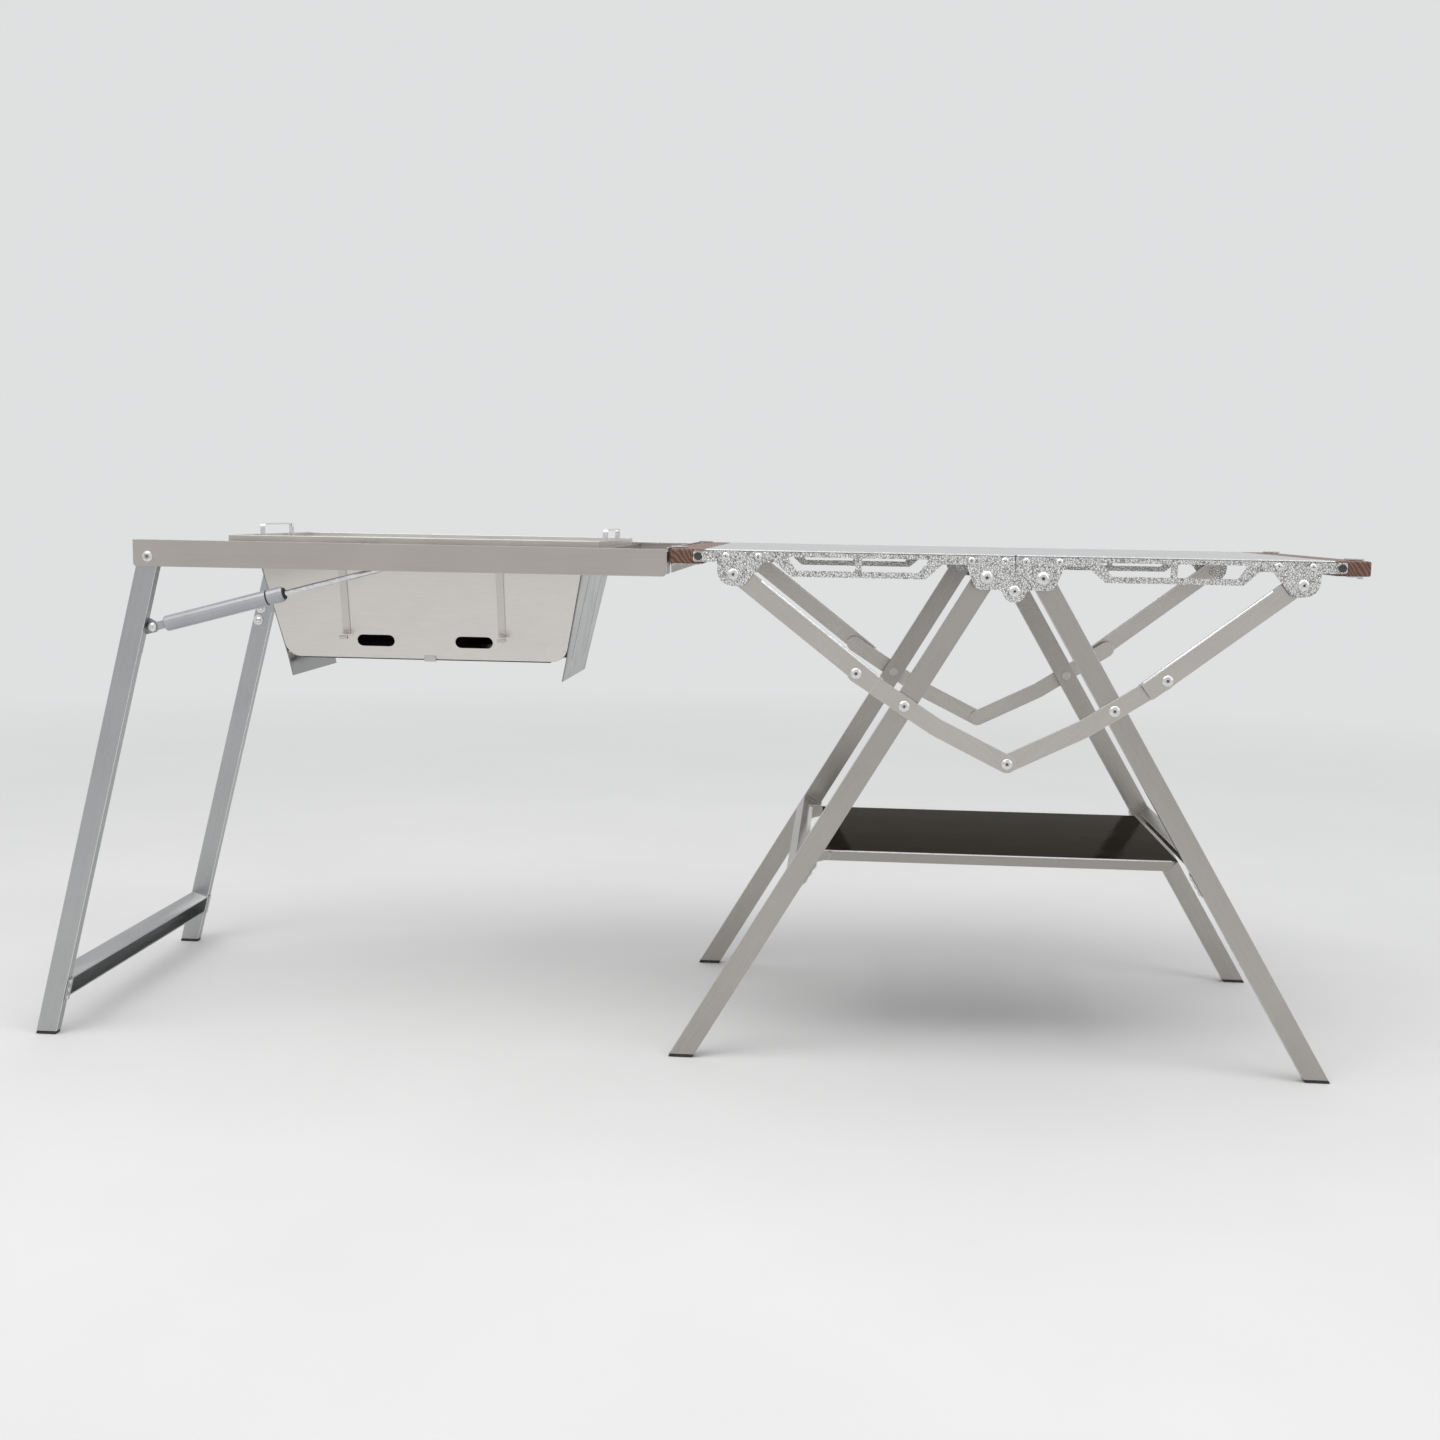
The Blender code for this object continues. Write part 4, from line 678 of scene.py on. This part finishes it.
def rivet_head(name, radius, rise):
    """A domed blind-rivet head on z = 0 with a hole, its radius in metres and its rise in millimetres."""
    piece = stub(name, 20, radius, rise * RIM_SHARE * MM)
    wide, dome = radius / MM, rise * (1 - RIM_SHARE)
    step_top(piece, [(wide * inset, dome * up) for inset, up in DOME_STEPS]
             + [(wide * inset, rise * up) for inset, up in HOLE_STEPS])
    only(piece)
    bpy.ops.object.shade_smooth_by_angle(angle=SHARP_ANGLE)
    return piece


def set_rivets(head, name, places, body):
    """Copies of a rivet head with the dark broken pin in each."""
    settle(copies(head, name, places), body, "bright")
    wide = max(v.co.x for v in head.data.vertices)
    high = max(v.co.z for v in head.data.vertices)
    pin = primitive("cylinder", "pin", vertices=12, radius=wide * PIN_RADIUS, depth=high * PIN_HEIGHT,
                    location=(0, 0, high * PIN_MIDDLE))
    bpy.ops.object.transform_apply(location=True)
    soften(pin, 0.15)
    settle(copies(pin, f"{name}_pins", places), body, "mandrel")
    discard(pin)


def bar(name, low, high, edge, hand=1, side=1):
    """A block between two corners, mirrored by hand and side, with rounded edges."""
    a, b = (spot(hand * x, side * y, z) for x, y, z in (low, high))
    piece = primitive("cube", name, size=1, location=(a + b) / 2)
    piece.scale = [abs(length) for length in b - a]
    bpy.ops.object.transform_apply(location=True, rotation=True, scale=True)
    return soften(piece, edge)


def ring(name, start, end, radius, bore, edge):
    """A collar from start to end with a bore, its edges rounded."""
    axis = end - start
    piece = primitive("cylinder", name, vertices=28, radius=radius * MM, depth=axis.length)
    step_top(piece, ((radius - bore, 0), (BORE_TAPER, -axis.length / MM * BORE_SHARE)))
    soften(piece, edge)
    place_mesh(piece, (start + end) / 2, axis)
    return piece


class GRILLTABLE_OT_finish_frame(bpy.types.Operator):
    """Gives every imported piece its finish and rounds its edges"""
    bl_idname = "grill_table.finish_frame"
    bl_label = "Finish the packed pieces"

    def execute(self, context):
        FINISHES.update(make_finishes())
        for name, piece in NODES.items():
            kind = next(look for start, look in NODE_FINISHES if name.startswith(start))
            for slot in piece.material_slots:
                slot.material = FINISHES[kind]
            weld = piece.modifiers.new("joined corners", "WELD")
            weld.merge_threshold = WELD_GAP
            flat = piece.modifiers.new("flat faces", "DECIMATE")
            flat.decimate_type = "DISSOLVE"
            flat.angle_limit = FLAT_ANGLE
            width = next((w for part, w in EDGE_WIDTHS if part in name), PLAIN_EDGE)
            add_bevel(piece, width, SHARP_ANGLE).use_clamp_overlap = True
        return {"FINISHED"}


class GRILLTABLE_OT_plate_rivets(bpy.types.Operator):
    """Sets the rivets along the top edge of the side plates"""
    bl_idname = "grill_table.plate_rivets"
    bl_label = "Side plate rivets"

    def execute(self, context):
        head = rivet_head("plate_rivet", context.scene.grill_table_fittings.plate_rivet, PLATE_RISE)
        for word, hand in HANDS:
            for side_word, side in SIDES:
                places = [(spot(hand * x, side * HALF_DEPTH, PLATE_RIVET_Z), (0, side, 0))
                          for x in PLATE_RIVET_X]
                set_rivets(head, f"{word}_plate_rivets_{side_word}", places, f"{word}_top")
        discard(head)
        return {"FINISHED"}


class GRILLTABLE_OT_pivot_rivets(bpy.types.Operator):
    """Sets the domed heads on the pivots of plates, braces, links and rails"""
    bl_idname = "grill_table.pivot_rivets"
    bl_label = "Pivot rivets"

    def execute(self, context):
        wide = context.scene.grill_table_fittings.pivot_rivet
        plain = rivet_head("pivot_head", wide, PIVOT_RISE)
        large = rivet_head("large_pivot_head", wide * LARGE_HEAD, LARGE_RISE)
        for side_word, side in SIDES:
            for body, slot, group in PIVOT_HEADS:
                for head, word in ((plain, "pivot"), (large, "large_pivot")):
                    places = [(spot(hand * x, side * (HALF_DEPTH - depth), z), (0, side, 0))
                              for hand, (x, z), depth, big in group if big == (head is large)]
                    if places:
                        set_rivets(head, f"{body}_{word}_rivets_{side_word}", places, body)
        discard(plain, large)
        return {"FINISHED"}


class GRILLTABLE_OT_crossbar_rivets(bpy.types.Operator):
    """Sets the small rivets that hold the crossbar tabs to the legs"""
    bl_idname = "grill_table.crossbar_rivets"
    bl_label = "Crossbar rivets"

    def execute(self, context):
        head = rivet_head("tab_rivet", context.scene.grill_table_fittings.tab_rivet, TAB_RISE)
        for body, top, foot, hand, distances, y in CROSSBAR_TABS:
            places = []
            for _, side in SIDES:
                for along in distances:
                    point, away = leg_spot(top, foot, along, -hand * TAB_FACE, side * y)
                    places.append((point, -hand * away))
            settle(copies(head, f"{body}_crossbar_rivets", places), body, "bright")
        discard(head)
        return {"FINISHED"}


class GRILLTABLE_OT_gas_spring_fittings(bpy.types.Operator):
    """Adds the bracket rivets with washers, the eye bolts, the rod seals and the ball sockets"""
    bl_idname = "grill_table.gas_spring_fittings"
    bl_label = "Gas spring fittings"

    def execute(self, context):
        washer = ring("washer", Vector((0, 0, 0)), Vector((0, 0, WASHER_HEIGHT * MM)),
                      WASHER_RADIUS, WASHER_BORE, 0.2)
        head = rivet_head("bracket_rivet", BRACKET_HEAD * MM, BRACKET_RISE)
        bolt = rivet_head("eye_bolt", BOLT_HEAD * MM, BOLT_RISE)
        axis = (Vector(GAS_STUD) - Vector(GAS_EYE)).normalized()
        for side_word, side in SIDES:
            bracket = [(leg_spot(EXT_TOP, EXT_FOOT, along, BRACKET_ACROSS, side * BRACKET_FACE)[0],
                        (0, -side, 0)) for along in BRACKET_RIVETS]
            eye = [(spot(GAS_EYE[0], side * EYE_FACE, GAS_EYE[1]), (0, side, 0))]
            for part, name, places in ((washer, "gas_bracket_washers", bracket),
                                       (head, "gas_bracket_rivets", bracket), (bolt, "gas_eye_bolt", eye)):
                settle(copies(part, f"{name}_{side_word}", places), "extension_legs", "bright")
            for name, base, start, end, radius, bore, edge, body, slot in GAS_RINGS:
                low, high = (Vector(base) + axis * distance for distance in (start, end))
                piece = ring(f"{name}_{side_word}", spot(low.x, side * GAS_Y, low.y),
                             spot(high.x, side * GAS_Y, high.y), radius, bore, edge)
                settle(piece, body, "rubber")
        discard(washer, head, bolt)
        return {"FINISHED"}


class GRILLTABLE_OT_tray_beads(bpy.types.Operator):
    """Adds the rolled bead along the front and rear edges of the lower tray, in near-white steel as a painted
    highlight
    """
    bl_idname = "grill_table.tray_beads"
    bl_label = "Tray beads"

    def execute(self, context):
        for side_word, side in SIDES:
            settle(bar(f"tray_bead_{side_word}", *TRAY_BEAD, side=side), "tray", "rim")
        return {"FINISHED"}


class GRILLTABLE_OT_top_rims(bpy.types.Operator):
    """Adds the rolled rims along the front and rear edges of the table top, in near-white steel as a painted
    highlight
    """
    bl_idname = "grill_table.top_rims"
    bl_label = "Table top rims"

    def execute(self, context):
        for word, hand in HANDS:
            for side_word, side in SIDES:
                piece = bar(f"{word}_top_rim_{side_word}", *TOP_RIM, hand, side)
                settle(piece, f"{word}_top", "rim")
        return {"FINISHED"}


class GRILLTABLE_OT_tongue_screws(bpy.types.Operator):
    """Sets the black socket screws that hold the side plates to the wood bars"""
    bl_idname = "grill_table.tongue_screws"
    bl_label = "Tongue screws"

    def execute(self, context):
        screw = stub("socket_screw", 24, SCREW_RADIUS * MM, SCREW_HEIGHT * MM)
        step_top(screw, ((SOCKET_WALL, 0), (SOCKET_TAPER, -SOCKET_DEPTH)))
        soften(screw, 0.2)
        for word, hand in HANDS:
            places = [(spot(hand * TONGUE_SCREW[0], side * HALF_DEPTH, TONGUE_SCREW[1]), (0, side, 0))
                      for _, side in SIDES]
            settle(copies(screw, f"{word}_tongue_screws", places), f"{word}_top", "mandrel")
        discard(screw)
        return {"FINISHED"}


class GRILLTABLE_OT_brace_folds(bpy.types.Operator):
    """Adds the fold along the upper edge of the braces, in near-white steel as a painted highlight"""
    bl_idname = "grill_table.brace_folds"
    bl_label = "Brace folds"

    def execute(self, context):
        for word, hand in HANDS:
            top, low = (Vector((hand * x, z)) for x, z in (BRACE_TOP, BRACE_LOW))
            along = (low - top).normalized()
            across = Vector((-along.y * hand, along.x * hand)) * -BRACE_FOLD_UP
            start, end = top + along * BRACE_FOLD_START + across, low + along * BRACE_FOLD_END + across
            for side_word, side in SIDES:
                y = side * (HALF_DEPTH - BRACE_FOLD_DEPTH)
                a, b = spot(start.x, y, start.y), spot(end.x, y, end.y)
                fold = primitive("cylinder", f"{word}_brace_fold_{side_word}", vertices=16,
                                 radius=BRACE_FOLD_RADIUS * MM, depth=(b - a).length)
                soften(fold, 0.4)
                place_mesh(fold, (a + b) / 2, b - a)
                settle(fold, f"{word}_braces", "rim")
        return {"FINISHED"}


class GRILLTABLE_OT_firebox_fittings(bpy.types.Operator):
    """Adds the locking tab, the strap feet and the lower seam of the firebox"""
    bl_idname = "grill_table.firebox_fittings"
    bl_label = "Firebox fittings"

    def execute(self, context):
        for name, low, high, edge, finish in FIREBOX_BARS:
            settle(bar(name, low, high, edge), "grill", finish)
        return {"FINISHED"}


# Stage

def pale_floor():
    """Pale floor that keeps the shadow near the table and fades to the backdrop's colour far from it."""
    pale, tree, shader = new_finish("pale_floor", 0.0, 0.85)
    grain = noise(tree, (0.35, 0.3, 0.3))
    tree.links.new(tint(tree, grain, (0.3, FLOOR_DARK), (0.7, FLOOR_LIGHT)), shader.inputs["Base Color"])
    place = node(tree, "ShaderNodeTexCoord")
    far = vector_node(tree, "LENGTH", place.outputs["Object"])
    ray = node(tree, "ShaderNodeLightPath")
    seen = math_node(tree, "ADD", ray.outputs["Is Camera Ray"], ray.outputs["Is Glossy Ray"])
    seen = math_node(tree, "ADD", seen, ray.outputs["Is Transmission Ray"], clamp=True)
    fade = spread(tree, far.outputs["Value"], 0.0, 1.0, FADE_NEAR, FADE_FAR)
    glow = node(tree, "ShaderNodeEmission", Color=(*BACKDROP, 1), Strength=1.0)
    both = node(tree, "ShaderNodeMixShader")
    tree.links.new(math_node(tree, "MULTIPLY", fade, seen), both.inputs["Fac"])
    tree.links.new(shader.outputs["BSDF"], both.inputs[1])
    tree.links.new(glow.outputs["Emission"], both.inputs[2])
    tree.links.new(both.outputs["Shader"], tree.nodes["Material Output"].inputs["Surface"])
    return pale


def add_camera(context):
    """The camera at the photograph's place, turned by yaw, pitch and roll."""
    yaw, pitch, roll = CAMERA_YAW, CAMERA_PITCH, CAMERA_ROLL
    forward = Vector((math.sin(yaw) * math.cos(pitch), math.cos(yaw) * math.cos(pitch), math.sin(pitch)))
    level = Vector((math.cos(yaw), -math.sin(yaw), 0))
    upright = level.cross(forward)
    right = math.cos(roll) * level + math.sin(roll) * upright
    up = math.cos(roll) * upright - math.sin(roll) * level
    lens = bpy.data.cameras.new("photo_camera")
    lens.lens, lens.sensor_width, lens.sensor_fit = CAMERA_LENS, CAMERA_SENSOR, "AUTO"
    camera = bpy.data.objects.new("photo_camera", lens)
    context.collection.objects.link(camera)
    turn = Matrix((right, up, -forward)).transposed().to_4x4()
    camera.matrix_world = Matrix.Translation(CAMERA_PLACE) @ turn
    context.scene.camera = camera


class GRILLTABLE_OT_stage(bpy.types.Operator):
    """Sets the pale floor, the soft studio lamps and the camera"""
    bl_idname = "grill_table.stage"
    bl_label = "Stage, lamps and camera"

    def execute(self, context):
        floor = primitive("plane", "studio_floor", size=FLOOR_SIZE, location=(0, 0, 0))
        floor.data.materials.append(pale_floor())
        world = bpy.data.worlds.new("studio")
        context.scene.world = world
        world.use_nodes = True
        back = world.node_tree.nodes["Background"]
        back.inputs["Color"].default_value = (*BACKDROP, 1)
        back.inputs["Strength"].default_value = 1.0
        for name, place, size, power, colour in LAMPS:
            lamp = bpy.data.lights.new(name, "AREA")
            lamp.shape = "RECTANGLE"
            lamp.size, lamp.size_y = size
            lamp.energy = power
            lamp.color = colour
            holder = bpy.data.objects.new(name, lamp)
            holder.location = place
            holder.rotation_mode = "QUATERNION"
            holder.rotation_quaternion = (Vector(LAMP_AIM) - Vector(place)).to_track_quat("-Z", "Y")
            context.collection.objects.link(holder)
        add_camera(context)
        context.scene.view_settings.view_transform = "Standard"
        return {"FINISHED"}


class GRILLTABLE_PT_panel(bpy.types.Panel):
    """The grill table's colours, sizes and steps"""
    bl_label = "Grill table"
    bl_idname = "GRILLTABLE_PT_panel"
    bl_space_type = "VIEW_3D"
    bl_region_type = "UI"
    bl_category = "Grill table"

    def draw(self, context):
        for group in (context.scene.grill_table_colours, context.scene.grill_table_fittings):
            for key in group.__annotations__:
                self.layout.prop(group, key)
        for step in STEPS:
            self.layout.operator(step.bl_idname)


STEPS = (
    GRILLTABLE_OT_finish_frame, GRILLTABLE_OT_plate_rivets, GRILLTABLE_OT_pivot_rivets,
    GRILLTABLE_OT_crossbar_rivets, GRILLTABLE_OT_gas_spring_fittings, GRILLTABLE_OT_tray_beads,
    GRILLTABLE_OT_top_rims, GRILLTABLE_OT_tongue_screws, GRILLTABLE_OT_brace_folds,
    GRILLTABLE_OT_firebox_fittings, GRILLTABLE_OT_stage,
)
CLASSES = (GrillTableColours, GrillTableFittings, *STEPS, GRILLTABLE_PT_panel)


def register():
    """Makes the properties, the operators and the panel known to Blender."""
    for cls in CLASSES:
        bpy.utils.register_class(cls)
    bpy.types.Scene.grill_table_colours = bpy.props.PointerProperty(type=GrillTableColours)
    bpy.types.Scene.grill_table_fittings = bpy.props.PointerProperty(type=GrillTableFittings)


def unregister():
    """Takes them away again."""
    del bpy.types.Scene.grill_table_fittings
    del bpy.types.Scene.grill_table_colours
    for cls in reversed(CLASSES):
        bpy.utils.unregister_class(cls)


def main():
    """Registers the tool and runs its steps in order."""
    register()
    for step in STEPS:
        group, name = step.bl_idname.split(".")
        getattr(getattr(bpy.ops, group), name)()


if __name__ == "__main__":
    main()
